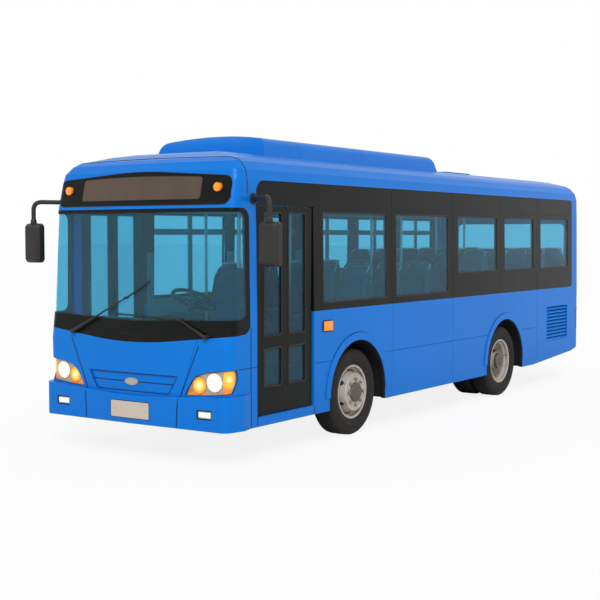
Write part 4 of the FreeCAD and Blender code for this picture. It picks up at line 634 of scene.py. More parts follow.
recipes = {
    makePaint: {"bluePaint": ()},
    makeGlazedBlack: {"glazedBlack": ()},
    makeGlass: {"windowGlass": ((0.27, 0.68, 0.85),), "doorGlass": ((0.20, 0.56, 0.74),)},
    makeLampCover: {"lampGlass": ()},
    makeFloor: {"floorVinyl": ()},
    makeCast: {"castIron": ()},
    makeBrushed: {"poleSteel": ((0.62, 0.62, 0.62),)},
    makeGlowLens: {
        "amberRound": ((0.824, -4.46, 0.772), 0.085, 0.35, (
            (0.0, (1.0, 1.0, 0.9)), (0.22, (1.0, 0.95, 0.6)), (0.30, (1.0, 0.72, 0.12)), (0.62, (1.0, 0.62, 0.05)),
            (0.7, (1.0, 0.33, 0.0)), (1.0, (1.0, 0.30, 0.0)))),
        "whiteRound": ((1.0, -4.45, 0.808), 0.1, 0.35, (
            (0.0, (1.0, 1.0, 1.0)), (0.66, (1.0, 1.0, 0.98)), (0.72, (0.80, 0.74, 0.62)), (1.0, (0.74, 0.66, 0.54)))),
        "turnSignal": ((1.16, -4.42, 0.845), 0.13, 0.25, (
            (0.0, (1.0, 0.95, 0.6)), (0.14, (1.0, 0.80, 0.3)), (0.3, (1.0, 0.52, 0.02)), (0.62, (1.0, 0.42, 0.0)),
            (0.75, (0.95, 0.24, 0.0)), (1.0, (0.86, 0.19, 0.0)))),
    },
    makeRubber: {
        "sealRubber": (),
        # The window and door seals are painted a lighter brown than black rubber, a painted highlight along the pane
        # borders
        "trimBrown": ((0.032, 0.026, 0.021), 0.5),
        "tyreRubber": ((0.017, 0.0155, 0.0145), 0.7),
        "jointSeal": ((0.004, 0.012, 0.035), 0.5),
    },
    makeMoulded: {
        "mirrorShell": ((0.020, 0.018, 0.017), 0.42),
        "dashPlastic": ((0.045, 0.06, 0.07), 0.55),
        "linerPlastic": ((0.006, 0.008, 0.009), 0.7, 300),
        "displayGlass": ((0.075, 0.050, 0.036), 0.25, 900),
        "seatShell": ((0.03, 0.06, 0.09), 0.45),
        # The teal lining and ceiling are painted lighter to make up for the dim light inside: painted light
        "liningPanel": ((0.20, 0.44, 0.50), 0.6, 400),
        "ceilingPanel": ((0.26, 0.52, 0.58), 0.6, 400),
        # The near-black finish of the hand-hole discs is painted shade
        "meshDark": ((0.010, 0.010, 0.011), 0.6, 300),
    },
    makeSteel: {
        "wheelPaint": ((0.42, 0.375, 0.33), 0.42),
        # The rim and disc ridges take this lighter copy of the wheel paint as a painted highlight
        "rimEdge": ((0.60, 0.53, 0.47), 0.35),
        "lampRing": ((0.30, 0.20, 0.14), 0.35, 0.3),
        "hubSteel": ((0.10, 0.085, 0.075), 0.45, 0.4),
        "nutSteel": ((0.36, 0.33, 0.30), 0.35, 0.7),
        "chassisPaint": ((0.022, 0.022, 0.024), 0.6, 0.0, (0.07, 0.045, 0.028)),
        "mirrorGlass": ((0.75, 0.78, 0.8), 0.03, 1.0, (0.6, 0.62, 0.64), 0.1),
        "lampBowl": ((0.50, 0.38, 0.30), 0.3, 0.3, (0.4, 0.3, 0.24), 0.3),
        "plateCream": ((0.56, 0.47, 0.40), 0.4, 0.0, (0.42, 0.35, 0.29), 0.4),
        "badgeMetal": ((0.45, 0.42, 0.39), 0.3, 0.6),
    },
    makeLens: {
        "amberLens": ((1.0, 0.30, 0.0), 0.12),
        "paleLens": ((0.62, 0.54, 0.46), 0.0, 500),
        "whiteLens": ((0.93, 0.90, 0.84), 0.25),
        "redLens": ((0.55, 0.012, 0.01), 0.1, 500),
        "lightStrip": ((0.9, 0.95, 0.95), 0.4),
    },
    makeCloth: {
        "seatCloth": ((0.004, 0.034, 0.085), (0.012, 0.065, 0.14)),
        "seatPiping": ((0.003, 0.022, 0.05), (0.01, 0.05, 0.09)),
    },
}

cadFinishes = {
    "bluePaint": "side_panels roof_shell roof_pod front_frame front_mask front_bumper rear_wall rear_bumper "
                 "engine_hatch side_louvres",
    "glazedBlack": "window_bands sign_panel screen_frame door_left_rear_leaf door_left_front_leaf "
                   "door_right_rear_leaf door_right_front_leaf",
    "windowGlass": "side_windows windscreen rear_window",
    "doorGlass": "door_left_rear_glass door_left_front_glass door_right_rear_glass door_right_front_glass",
    "lampGlass": "headlamp_lenses",
    "lampBowl": "headlamp_housings",
    "amberLens": "marker_lamps",
    "redLens": "tail_lamps",
    "paleLens": "fog_lamps",
    "tyreRubber": "tyre_front_left tyre_front_right tyre_rear_left tyre_rear_right",
    "wheelPaint": "rim_front_left rim_front_right rim_rear_left rim_rear_right",
    "chassisPaint": "front_axle knuckle_left knuckle_right tie_rod rear_axle chassis_frame leaf_springs fuel_tank "
                    "tow_eyes",
    "castIron": "engine_block",
    "floorVinyl": "floor_deck step_wells",
    "seatCloth": "passenger_seats driver_seat",
    "dashPlastic": "dashboard steering_wheel",
    "poleSteel": "grab_poles",
    "mirrorShell": "mirrors wipers",
}
finishes = {}


def makeFinishes():
    for maker, batch in recipes.items():
        for name, given in batch.items():
            finishes[name] = maker(name, *given)
    for finish, names in cadFinishes.items():
        for name in names.split():
            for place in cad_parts[name].material_slots:
                place.material = finishes[finish]


axles = {"front": -2.150, "rear": 1.721}
hubHeight = 0.479

# Joint lines of the body panels: uprights as (y, low, high) and level lines as (start, end, height)
joints = {
    "bead": 0.0045, "fineBead": 0.003,
    "uprights": ((-1.407, 0.35, 2.74), (0.136, 0.35, 2.74), (2.811, 0.365, 2.74), (-4.137, 0.36, 1.33),
                 (-4.029, 0.36, 2.60), (1.563, 1.43, 2.74), (-3.030, 0.35, 0.43)),
    "levels": ((-3.02, -2.69, 0.878), (-1.61, 1.18, 0.878), (2.26, 2.805, 0.878), (-3.02, 4.10, 2.503),
               (-4.34, -4.035, 0.932)),
    "maskLine": ((0.842, 1.157), (0.612, 0.643), (0.595, 0.357)),
    "archRise": 0.668, "archEnds": 0.88,
    "capRing": (-4.17, 1.9), "capDegrees": (31, 150, 2),
}


def makeJoints():
    sides = "side_panels window_bands front_frame front_mask front_bumper roof_shell rear_wall rear_bumper"
    bold, fine, rise = joints["bead"], joints["fineBead"], joints["archRise"]
    beads = [addBead(traced("left", sides, [(y, low), (y, high)]), bold) for y, low, high in joints["uprights"]]
    beads.append(addBead(traced("front", "front_mask front_bumper", joints["maskLine"], 0.02), bold))
    for axle in axles.values():
        loop = [(axle - rise * math.cos(turn), hubHeight + rise * math.sin(turn))
                for turn in map(math.radians, range(0, 181, 4))]
        loop = [corner for corner in loop if corner[1] > joints["archEnds"]]
        beads.append(addBead(traced("left", "side_panels", loop), fine))
    beads += [addBead(traced("left", sides, [(start, z), (end, z)]), fine) for start, end, z in joints["levels"]]
    dress("sideJoints", "jointSeal", *beads, both=True)
    ring = wrapped("roof_shell front_frame sign_panel", *joints["capRing"], range(*joints["capDegrees"]))
    dress("capJoint", "jointSeal", addBead([place for place, _ in ring], bold))


# Windows: each y range with the height of its sill
windows = {
    "ranges": ((-2.860, -1.514, 1.498), (-1.315, 0.016, 1.498), (0.266, 1.452, 1.727), (1.681, 2.687, 1.727),
               (2.929, 4.003, 1.727)),
    "top": 2.453, "radius": 0.025, "seal": 0.009, "inset": 0.004,
}


def makeWindowSeals():
    beads, inset = [], windows["inset"]
    for low, high, sill in windows["ranges"]:
        line = []
        for y, z in roundedLoop((low, sill), (high, windows["top"]), windows["radius"]):
            found = surfaceAt("side_windows", (3, y + inset * math.copysign(1, (low + high) / 2 - y),
                                               z + inset * math.copysign(1, (sill + windows["top"]) / 2 - z)),
                              (-1, 0, 0))
            if found:
                line.append(found[0] + Vector((inset, 0, 0)))
        beads.append(addBead(line, windows["seal"], closed=True))
    # The seals' lighter brown is a painted highlight
    dress("windowSeals", "trimBrown", *beads, both=True)


# Wheels: distances from the middle of the tyre and radii, in metres
wheel = {
    "across": 1.007, "twin": 0.310, "radius": 0.479, "crown": 0.0022,
    "sidewall": ((0.1045, 0.2905), (0.1045, 0.299), (0.112, 0.306), (0.1245, 0.322), (0.1335, 0.348),
                 (0.1372, 0.372), (0.1386, 0.3735), (0.1386, 0.3775), (0.1374, 0.379), (0.1368, 0.405),
                 (0.1335, 0.430), (0.128, 0.448), (0.1195, 0.4605), (0.109, 0.4705), (0.101, 0.4752), (0.095, 0.4768)),
    "lining": ((0.095, 0.300), (0.117, 0.350), (0.112, 0.420), (0.085, 0.452), (0.040, 0.460)),
    "grooves": (0.068, 0.024, -0.024, -0.068), "grooveHalf": 0.005, "grooveDepth": 0.012,
    "nuts": 8, "nutRing": 0.1425, "nutRadius": 0.0165, "nutDepth": 0.022, "nutFace": {"front": 0.148, "rear": -0.143},
    "holes": 6, "holeRadius": 0.030, "holeFrom": (0.148, 0.205), "holeTo": (0.012, 0.252), "holeShare": 0.40,
    "frontCap": ((0.140, 0), (0.140, 0.1075), (0.164, 0.1065), (0.170, 0.102), (0.1715, 0.094), (0.1700, 0.086),
                 (0.1685, 0.084), (0.1700, 0.080), (0.1730, 0.050), (0.1740, 0.020), (0.1742, 0)),
    "rearCap": ((0.070, 0), (0.070, 0.1075), (0.111, 0.1065), (0.117, 0.102), (0.1185, 0.094), (0.1170, 0.086),
                (0.1155, 0.084), (0.1170, 0.080), (0.1190, 0.050), (0.1195, 0.020), (0.1197, 0)),
    "rimRidge": ((0.108, 0.2925), (0.1135, 0.2985), (0.1165, 0.2925), (0.1135, 0.2875)),
    "discRidge": ((0.147, 0.196), (0.1515, 0.199), (0.1515, 0.203), (0.147, 0.206)),
    "valve": ((0.060, 0.225, 0.06), (0.100, 0.237, 0.063), (0.119, 0.240, 0.064)),
}


def makeTyre():
    # Sidewalls, ribbed tread and the inside, as one closed ring
    half, inside = wheel["sidewall"], wheel["lining"]
    profile = list(half)
    for groove in wheel["grooves"]:
        for offset, sink in ((1, 0), (0.76, 1), (-0.76, 1), (-1, 0)):
            along = groove + offset * wheel["grooveHalf"]
            crown = wheel["radius"] - wheel["crown"] * (along / half[-1][0]) ** 2
            profile.append((along, crown - sink * wheel["grooveDepth"]))
    profile += [(-along, radius) for along, radius in half[::-1] + inside]
    return addTurned(profile + list(inside[::-1]), 96)


def spokedCopies(piece, count):
    # The piece repeated round the wheel's axis
    turns = (Matrix.Rotation(math.radians(360 * number / count), 4, "X") for number in range(count))
    copies = [copied(piece, turn=turn) for turn in turns]
    discard(piece)
    return joined(copies)


def makeNuts(face):
    ring, tip = wheel["nutRing"], face + wheel["nutDepth"]
    bars = ((face, face + 0.004, 0.0215, 24, 0.001), (face + 0.003, tip, wheel["nutRadius"], 6, 0.002),
            (tip - 0.001, tip + 0.011, 0.0085, 12, 0.001))
    return spokedCopies(joined([addDrum((start, 0, ring), (end, 0, ring), *rest) for start, end, *rest in bars]),
                        wheel["nuts"])


def makeHandHoles():
    # Pressed openings on the cone of the front disc, each with a rolled lip and a near-black disc that paints the shade
    # inside it
    start, end, radius = Vector(wheel["holeFrom"]), Vector(wheel["holeTo"]), wheel["holeRadius"]
    middle = start.lerp(end, wheel["holeShare"])
    slope = (end - start).normalized()
    centre, along = Vector((middle.x, 0, middle.y)), Vector((slope.x, 0, slope.y))
    outward = Vector((abs(slope.y), 0, abs(slope.x)))
    hole = addDrum(centre - outward * 0.004, centre + outward * 0.0060, radius, 28, 0.001)
    lip = [centre + outward * 0.0045 + along * radius * math.cos(turn) + Vector((0, radius, 0)) * math.sin(turn)
           for turn in map(math.radians, range(0, 360, 15))]
    rim = addBead(lip, 0.0035, closed=True)
    return [spokedCopies(piece, wheel["holes"]) for piece in (hole, rim)]


def makeWheels():
    tyre = makeTyre()
    caps = {end: addTurned(wheel[end + "Cap"], 48, closed=False) for end in axles}
    nuts = {end: makeNuts(wheel["nutFace"][end]) for end in axles}
    holes, lips = makeHandHoles()
    ridge, plate = addTurned(wheel["rimRidge"], 96), addTurned(wheel["discRidge"], 72)
    valve = addTube(wheel["valve"], 0.004, 0.01)
    for end, axle in axles.items():
        # The rim and disc ridges are real beads whose lighter finish is a painted highlight
        trims = {"hubCap": ("hubSteel", caps[end]), "wheelNuts": ("nutSteel", nuts[end]),
                 "rimRidge": ("rimEdge", ridge), "valveStem": ("sealRubber", valve)}
        if end == "front":
            trims |= {"discRidge": ("rimEdge", plate), "shadedHandHoles": ("meshDark", holes),
                      "holeLips": ("wheelPaint", lips)}
        for side in ("left", "right"):
            body, tag = f"wheel_{end}_{side}", end.capitalize() + side.capitalize()

            def put(piece, shift=0):
                made = copied(piece, (wheel["across"] - shift, axle, hubHeight))
                return flopped(made) if side == "right" else made

            tyres = [put(tyre, shift) for shift in ((0, wheel["twin"]) if end == "rear" else (0,))]
            dress("tyre" + tag, "tyreRubber", *tyres, body=body, slot="tyre_rubber", hides=[f"tyre_{end}_{side}"])
            for name, (finish, piece) in trims.items():
                dress(name + tag, finish, put(piece), body=body)
    discard(tyre, holes, lips, ridge, plate, valve, *caps.values(), *nuts.values())


# Wheel arches: dark liners inside and a rubber edge round each opening
arch = {
    "foot": 0.352, "wallHeight": 0.72, "wallDepth": 0.004, "steps": 28,
    "liner": (0.602, 0.004, (0.522, 1.149)), "edge": (0.5815, 0.005, (1.151, 1.2035)),
}


def archPath(axle, radius, foot):
    path, steps = [(axle + radius, foot)], arch["steps"]
    for step in range(steps + 1):
        turn = math.pi * step / steps
        path.append((axle + radius * math.cos(turn), hubHeight + radius * math.sin(turn)))
    return path + [(axle - radius, foot)]


def archRing(axle, kind, edge):
    outer, wall, reach = arch[kind]
    ring = archPath(axle, outer, arch["foot"]) + archPath(axle, outer - wall, arch["foot"])[::-1]
    return addPlate(ring, "X", *reach, edge)


def makeArches():
    rise = arch["wallHeight"]
    radius, _, (inner, _) = arch["liner"]
    for end, axle in axles.items():
        wall = [(y, z) for y, z in archPath(axle, radius, rise) if z >= rise]
        back = addPlate(wall, "X", inner - arch["wallDepth"], inner, 0)
        dress("archLiner" + end.capitalize(), "linerPlastic", archRing(axle, "liner", 0), back, both=True)
        dress("archEdge" + end.capitalize(), "sealRubber", archRing(axle, "edge", 0.0015), both=True)


# Headlamps, fog lamps, marker lamps and the outlines of their lenses
lamps = {
    "amberRound": ((0.824, 0.772), 0.158), "whiteRound": ((1.002, 0.808), 0.184),
    "turnSignal": ("turnSignal", 0.0035, (((1.103, 0, 0.8), (-1, 0, 0.10)),)),
    "lampTip": ("amberLens", 0.003, (((0, 0, 0.8), (-1, 0, 0)), ((0.80, 0, 0.725), (0.30, 0, 0.95)))),
    "fogCentre": (0.934, 0.501), "fogSize": (0.171, 0.077), "fogFace": -4.521,
    "roundLens": ((0.981, 2.669), 0.094), "sideLens": ((-2.870, 1.204), (-2.693, 1.305)), "sideFace": 1.203,
    "corner": 0.012,
}


def makeHeadlamps():
    bowl = "headlamp_housings"
    for key in ("amberRound", "whiteRound"):
        centre, size = lamps[key]
        dress(key, key, addPatch("front", bowl, ovalLoop(centre, size, size, 40), 0.001, 0.006), both=True)
        ring = traced("front", bowl, ovalLoop(centre, size + 0.008, size + 0.008, 48), 0.02, ring=True)
        dress(key + "Ring", "lampRing", addBead(ring, 0.0045), both=True)
    for key in ("turnSignal", "lampTip"):
        # A part of the housing, cut off by planes and swollen a little
        finish, swell, planes = lamps[key]
        piece = cadCopy(bowl)
        for point, normal in planes:
            with editing(piece):
                bpy.ops.mesh.bisect(plane_co=point, plane_no=normal, use_fill=True, clear_outer=True)
        with editing(piece):
            bpy.ops.mesh.normals_make_consistent(inside=False)
            bpy.ops.transform.shrink_fatten(value=swell)
        dress(key, finish, smooth(piece, 40), both=True)
    dress("headlampSeals", "sealRubber", addRimBead("headlamp_lenses", (0.6, -3.9), 0.0055))


def makeSmallLamps():
    (x, z), (width, height), corner = lamps["fogCentre"], lamps["fogSize"], lamps["corner"]
    low, high = (x - width / 2, z - height / 2), (x + width / 2, z + height / 2)
    bowl = addPatch("front", "fog_lamps", roundedLoop(low, high, corner, grow=(-0.016, -0.014)), 0.001, 0.006)
    dress("fogBowls", "whiteLens", bowl, both=True)
    ring = [Vector((x, lamps["fogFace"], z)) for x, z in roundedLoop(low, high, corner)]
    dress("fogSeals", "sealRubber", addBead(ring, 0.005, closed=True), both=True)
    spot, size = lamps["roundLens"]
    upper = addBead(traced("front", "sign_panel roof_shell", ovalLoop(spot, size, size, 36), 0.02, ring=True), 0.006)
    low, high = lamps["sideLens"]
    side = [Vector((lamps["sideFace"], y, z)) for y, z in roundedLoop(low, high, corner)]
    dress("markerSeals", "sealRubber", upper, addBead(side, 0.011, closed=True), both=True)
    lens = roundedLoop(low, high, corner, grow=(-0.012, -0.012))
    dress("sideLenses", "amberLens", addPatch("left", "marker_lamps", lens, 0.0005, 0.005, 1), both=True)


# Badge, recess lines, plate and the slot in the cowl
nose = {
    "badge": ((0, 0.760), 0.174, 0.073), "plate": ((-0.250, 0.398), (0.250, 0.562)), "plateBolts": (0.20, 0.48),
    "grille": ((0.586, 0.843), (0.532, 0.757), (0.473, 0.663)), "slot": (0.16, 1.232),
}


def makeNose():
    faces, bumper = "front_mask front_bumper", "front_bumper"
    centre, width, height = nose["badge"]
    body = addPatch("front", faces, ovalLoop(centre, width, height, 40), 0.0, 0.014, edge=0.003)
    top = addPatch("front", faces, ovalLoop(centre, width - 0.030, height - 0.022, 40), 0.012, 0.006, edge=0.002)
    dress("ovalBadge", "badgeMetal", body, top)
    (a, top), (b, crease), (c, low) = nose["grille"]
    lines = ([(-a, top), (a, top), (b, crease), (c, low), (-c, low), (-b, crease), (-a, top)],
             [(-b, crease), (b, crease)])
    dress("grilleLines", "jointSeal", *(addBead(traced("front", "front_mask", line, 0.03), 0.0035) for line in lines))
    low, high = nose["plate"]
    back = roundedLoop(low, high, 0.014, grow=(0.008, 0.008))
    dress("plateBack", "sealRubber", addPatch("front", bumper, back, -0.004, 0.0045, edge=0))
    plate = addPatch("front", bumper, roundedLoop(low, high, 0.010), 0.0005, 0.0005, edge=0)
    x, z = nose["plateBolts"]
    bolts = [addPatch("front", bumper, ovalLoop(spot, 0.014, 0.014, 16), 0.0005, 0.0008, 1, 0)
             for spot in ((-x, z), (x, z))]
    dress("numberPlate", "plateCream", plate)
    dress("plateBolts", "nutSteel", *bolts)
    half, height = nose["slot"]
    slot = traced("front", "screen_frame front_mask", [(-half, height), (half, height)], 0.03)
    dress("cowlSlot", "sealRubber", addBead(slot, 0.004))


# Route sign behind its black panel
sign = {"half": 0.78, "low": 2.556, "high": 2.772, "rise": 0.018, "riseFrom": 2.66, "radius": 0.03, "step": 0.08}


def makeSign():
    half = sign["half"]
    loop = roundedLoop((-half, sign["low"]), (half, sign["high"]), sign["radius"], 8)
    shaped = []
    for (x, z), (nextX, nextZ) in zip(loop, loop[1:] + loop[:1]):
        count = max(1, round(abs(nextX - x) / sign["step"]))
        for step in range(count):
            u, v = x + (nextX - x) * step / count, z + (nextZ - z) * step / count
            shaped.append((u, v + (sign["rise"] * (1 - (u / half) ** 2) if v > sign["riseFrom"] else 0)))
    dress("signScreen", "displayGlass", addPatch("front", "sign_panel", shaped, 0.0005, 0.0035))
    dress("signEdge", "sealRubber", addBead(traced("front", "sign_panel", shaped, 0.05, ring=True), 0.0045))
    dress("signPanelSeal", "sealRubber", addRimBead("sign_panel", (0, -3.2), 0.006))


# Windscreen seal and wipers
wipers = {
    "right": {"pivot": (-0.800, 1.226), "hold": (-0.076, 1.590), "blade": ((-0.076, 1.590), (0.210, 1.756))},
    "left": {"pivot": (0.941, 1.242), "hold": (0.611, 1.395), "blade": ((0.713, 1.392), (-0.208, 1.424))},
    "lift": 0.030, "arm": 0.0125, "blade": 0.0085,
}


def screenPoint(x, z, lift):
    return surfaceAt("screen_frame windscreen front_mask", (x, -7, z), (0, 1, 0))[0] - Vector((0, lift, 0))


def makeWipers():
    dress("windscreenSeal", "sealRubber", addRimBead("windscreen", (0, -3.2), 0.009))
    pieces, arm = [], wipers["arm"]
    for side in ("right", "left"):
        spec = wipers[side]
        pivot, hold = screenPoint(*spec["pivot"], 0), screenPoint(*spec["hold"], wipers["lift"])
        base, neck, cap, knee = (pivot + Vector((0, along, 0)) for along in (0.02, -0.040, -0.052, -0.044))
        middle = knee.lerp(hold, 0.42)
        (ax, az), (bx, bz) = spec["blade"]
        line = [screenPoint(ax + (bx - ax) * step / 8, az + (bz - az) * step / 8, wipers["lift"] * 0.62)
                for step in range(9)]
        pieces += [
            addDrum(base, neck, 0.026, 24, 0.004, 0.019),
            addDrum(pivot - Vector((0, 0.036, 0)), cap, 0.024, 24, 0.004),
            addDrum(knee, middle, arm * 1.35, 12, 0.002, arm),
            addDrum(middle, hold, arm * 0.8, 12, 0.001, arm * 0.6),
            addBead(line, wipers["blade"]),
            addBead([point + Vector((0, 0.009, 0)) for point in line], 0.004, sides=1),
            addBlock(hold - Vector((0.022, 0.012, 0.012)), hold + Vector((0.022, 0.014, 0.012))),
        ]
    dress("wiperPair", "mirrorShell", *pieces, hides=["wipers"])


# Mirrors: a crowned shell on a bent arm
mirror = {
    "flange": (1.190, -4.075, 2.560), "corner": (1.560, -4.330, 2.566), "arm": 0.024, "bend": 0.09, "drop": 0.27,
    "low": (1.447, -4.383, 1.915), "high": (1.673, -4.277, 2.337), "round": 0.048,
    "crown": (0.034, 0.068), "boltRing": 0.040, "boltTurns": (0.8, 2.3, 3.9, 5.5),
}


def makeMirrors():
    flange, corner, low, high = (Vector(mirror[key]) for key in ("flange", "corner", "low", "high"))
    inset, deep = mirror["crown"]
    shell = addPlate(roundedLoop((low.x, low.z), (high.x, high.z), mirror["round"]), "Y", high.y - deep, high.y, 0)
    with editingSome(shell, "FACE", lambda face: face.normal.y < -0.9):
        bpy.ops.mesh.inset(thickness=inset, depth=high.y - low.y - deep)
    roundEdges(shell, 0.010, 3)
    arm = addTube([flange, corner, corner - Vector((0, 0, mirror["drop"]))], mirror["arm"], mirror["bend"], 5)
    away, ring = Vector((1, 0, 0)), mirror["boltRing"]
    parts = [
        shell, arm,
        addDrum(flange - away * 0.014, flange + away * 0.016, 0.055, 36, 0.006),
        addDrum(flange + away * 0.012, flange + Vector((0.050, -0.012, 0)), 0.040, 24, 0.004, 0.030),
        addDrum((*corner.xy, high.z - 0.01), (*corner.xy, high.z + 0.045), 0.036, 24, 0.005, 0.029),
    ]
    for turn in mirror["boltTurns"]:
        spot = flange + Vector((0, ring * math.cos(turn), ring * math.sin(turn)))
        parts.append(addDrum(spot + away * 0.014, spot + away * 0.022, 0.007, 6, 0.001))
    dress("mirrorArms", "mirrorShell", *parts, both=True, hides=["mirrors"])
    pane = roundedLoop((low.x, low.z), (high.x, high.z), 0.03, grow=(-0.014, -0.016))
    dress("mirrorGlass", "mirrorGlass", addPlate(pane, "Y", high.y - 0.002, high.y + 0.002, 0.001), both=True)


# Doors: pane seals, edge rubbers and grab handles ride on each leaf
door = {
    "rear": {"edges": (-3.5215, -3.054), "pane": (-3.4715, -3.169), "meeting": -3.5215, "rail": (-3.112, 0.96)},
    "front": {"edges": (-4.009, -3.5415), "pane": (-3.894, -3.5915), "meeting": -3.5415, "rail": (-3.950, 1.36)},
    "heights": ((0.717, 1.095), (1.222, 2.430)), "low": 0.447, "high": 2.492, "face": 1.178,
    "railPath": ((1.142, 0), (1.104, 0.03), (1.104, 0.31), (1.142, 0.34)),
}


def makeDoors():
    for leaf in ("rear", "front"):
        spec = door[leaf]
        (low, high), meeting, (hand, foot) = spec["pane"], spec["meeting"], spec["rail"]
        parts = []
        for bottom, top in door["heights"]:
            loop = [Vector((door["face"], y, z)) for y, z in roundedLoop((low, bottom), (high, top), 0.025)]
            parts.append(addBead(loop, 0.007, closed=True))
        parts.append(addBlock((1.143, meeting - 0.007, door["low"] + 0.01),
                              (1.176, meeting + 0.007, door["high"] - 0.01), 0.003))
        start, end = spec["edges"]
        parts.append(addBlock((1.150, start + 0.012, 0.441), (1.168, end - 0.012, 0.455), 0.003))
        # The pane seals and edge rubbers take the lighter brown of a painted highlight
        trims = {"leafTrim": ("trimBrown", joined(parts)), "leafRail": ("dashPlastic", addTube(
            [(x, hand, foot + rise) for x, rise in door["railPath"]], 0.011, 0.016))}
        for side in ("left", "right"):
            for name, (finish, piece) in trims.items():
                made = flopped(copied(piece)) if side == "right" else copied(piece)
                dress(name + side.capitalize() + leaf.capitalize(), finish, made, body=f"door_{side}_{leaf}")
        discard(*(piece for _, piece in trims.values()))


# Seats: heights are above the floor, distances from the reference line of each row
seat = {
    "across": (0.465, 0.905), "halfWidth": 0.209, "cushion": (0.352, 0.438), "cushionReach": (-0.424, -0.012),
    "back": ((0.178, 0.400), (0.200, 0.500), (0.207, 0.620), (0.207, 0.740), (0.199, 0.840), (0.182, 0.915),
             (0.150, 0.968), (0.105, 0.993), (0.050, 1.001), (0.0, 1.003)),
    "backReach": (-0.044, 0.030), "lean": 0.241, "leanFrom": 0.45, "bolster": 0.020, "dish": 0.012, "channel": 0.010,
    "front": {"first": -1.875, "pitch": 0.742, "rows": 4, "floor": 0.86},
    "rear": {"first": 1.200, "pitch": 0.675, "rows": 5, "floor": 1.00},
    "boxes": ((-2.79, -1.51), (1.081, 2.361)), "boxTop": 1.10, "boxFrom": 0.5,
    "voxel": 0.016, "pressure": 4, "cap": 0.022, "frames": 20, "fill": 0.75,
    "handle": ((-0.15, 0.140, 0.93), (-0.15, 0.190, 1.005), (0.15, 0.190, 1.005), (0.15, 0.140, 0.93)),
    "finishes": {"cushion": "seatCloth", "back": "seatCloth", "piping": "seatPiping", "shell": "seatShell",
                 "handle": "poleSteel"},
}


def blownUp(piece):
    # The closed form is remeshed and blown up as cloth, and no point moves further than the cap
    modified(piece, "REMESH", mode="VOXEL", voxel_size=seat["voxel"])
    before = [vertex.co.copy() for vertex in piece.data.vertices]
    cloth = piece.modifiers.new("Cloth", "CLOTH")
    cloth.settings.use_pressure = True
    cloth.settings.uniform_pressure_force = seat["pressure"]
    cloth.settings.effector_weights.gravity = 0
    cloth.point_cache.frame_end = seat["frames"]
    for moment in range(1, seat["frames"] + 1):
        bpy.context.scene.frame_set(moment)
    pick(piece)
    bpy.ops.object.modifier_apply(modifier=cloth.name)
    for vertex, start in zip(piece.data.vertices, before):
        move = vertex.co - start
        if move.length > seat["cap"]:
            vertex.co = start + move.normalized() * seat["cap"]
    bpy.context.scene.frame_set(1)
    return smooth(piece, 70)


def nearness(distance, width):
    return math.exp(-(distance / width) ** 2)


def makeCushion():
    # Sewn channels near the sides and the front, and fuller edges
    (low, high), (start, end), half = seat["cushion"], seat["cushionReach"], seat["halfWidth"]
    piece = blownUp(addPlate(roundedLoop((-half, start), (half, end), 0.045), "Z", low + 0.012, high - 0.014, 0.014))
    for vertex in piece.data.vertices:
        x, y = abs(vertex.co.x), vertex.co.y
        if vertex.co.z > (low + high) / 2:
            seam = max(nearness(abs(x - 0.135), 0.016), nearness(abs(y + 0.33), 0.016) * (x < 0.15))
            vertex.co.z -= seat["channel"] * seam
            vertex.co.z += seat["channel"] * nearness(x - 0.185, 0.03)
    return piece


def leaned(piece):
    for vertex in piece.data.vertices:
        vertex.co.y += (vertex.co.z - seat["leanFrom"]) * seat["lean"]
    return piece


def backOutline(share=1.0):
    return [(x * share, z) for x, z in seat["back"]] + [(-x * share, z) for x, z in seat["back"][-2::-1]]


def makeBack():
    # Side bolsters, a dished middle, sewn channels and a fuller head end
    start, end = seat["backReach"]
    piece = blownUp(addPlate(backOutline(), "Y", start + 0.012, end - 0.010, 0.014))
    for vertex in piece.data.vertices:
        x, z = abs(vertex.co.x), vertex.co.z
        if vertex.co.y < -0.01:
            vertex.co.y -= seat["bolster"] * nearness(x - 0.165, 0.035) * (z < 0.86)
            vertex.co.y += seat["dish"] * nearness(x, 0.11) * (z < 0.78)
            vertex.co.y += 0.011 * max(nearness(x - 0.128, 0.014) * (0.44 < z < 0.78),
                                       nearness(z - 0.795, 0.015) * (x < 0.15), nearness(z - 0.62, 0.013) * (x < 0.12))
            vertex.co.y -= 0.010 * nearness(z - 0.89, 0.05) * nearness(x, 0.11)
    return piece


def laidOn(piece, loop, fromTop=False, closed=True):
    # A piping bead on the front or the top of a padded form
    line = []
    for u, v in loop:
        start, aim = ((u, v, 2), (0, 0, -1)) if fromTop else ((u, -1, v), (0, 1, 0))
        hit, place, _, _ = piece.ray_cast(Vector(start), Vector(aim))
        if hit:
            line.append(place)
    return addBead(line, 0.0032, closed=closed, sides=1)


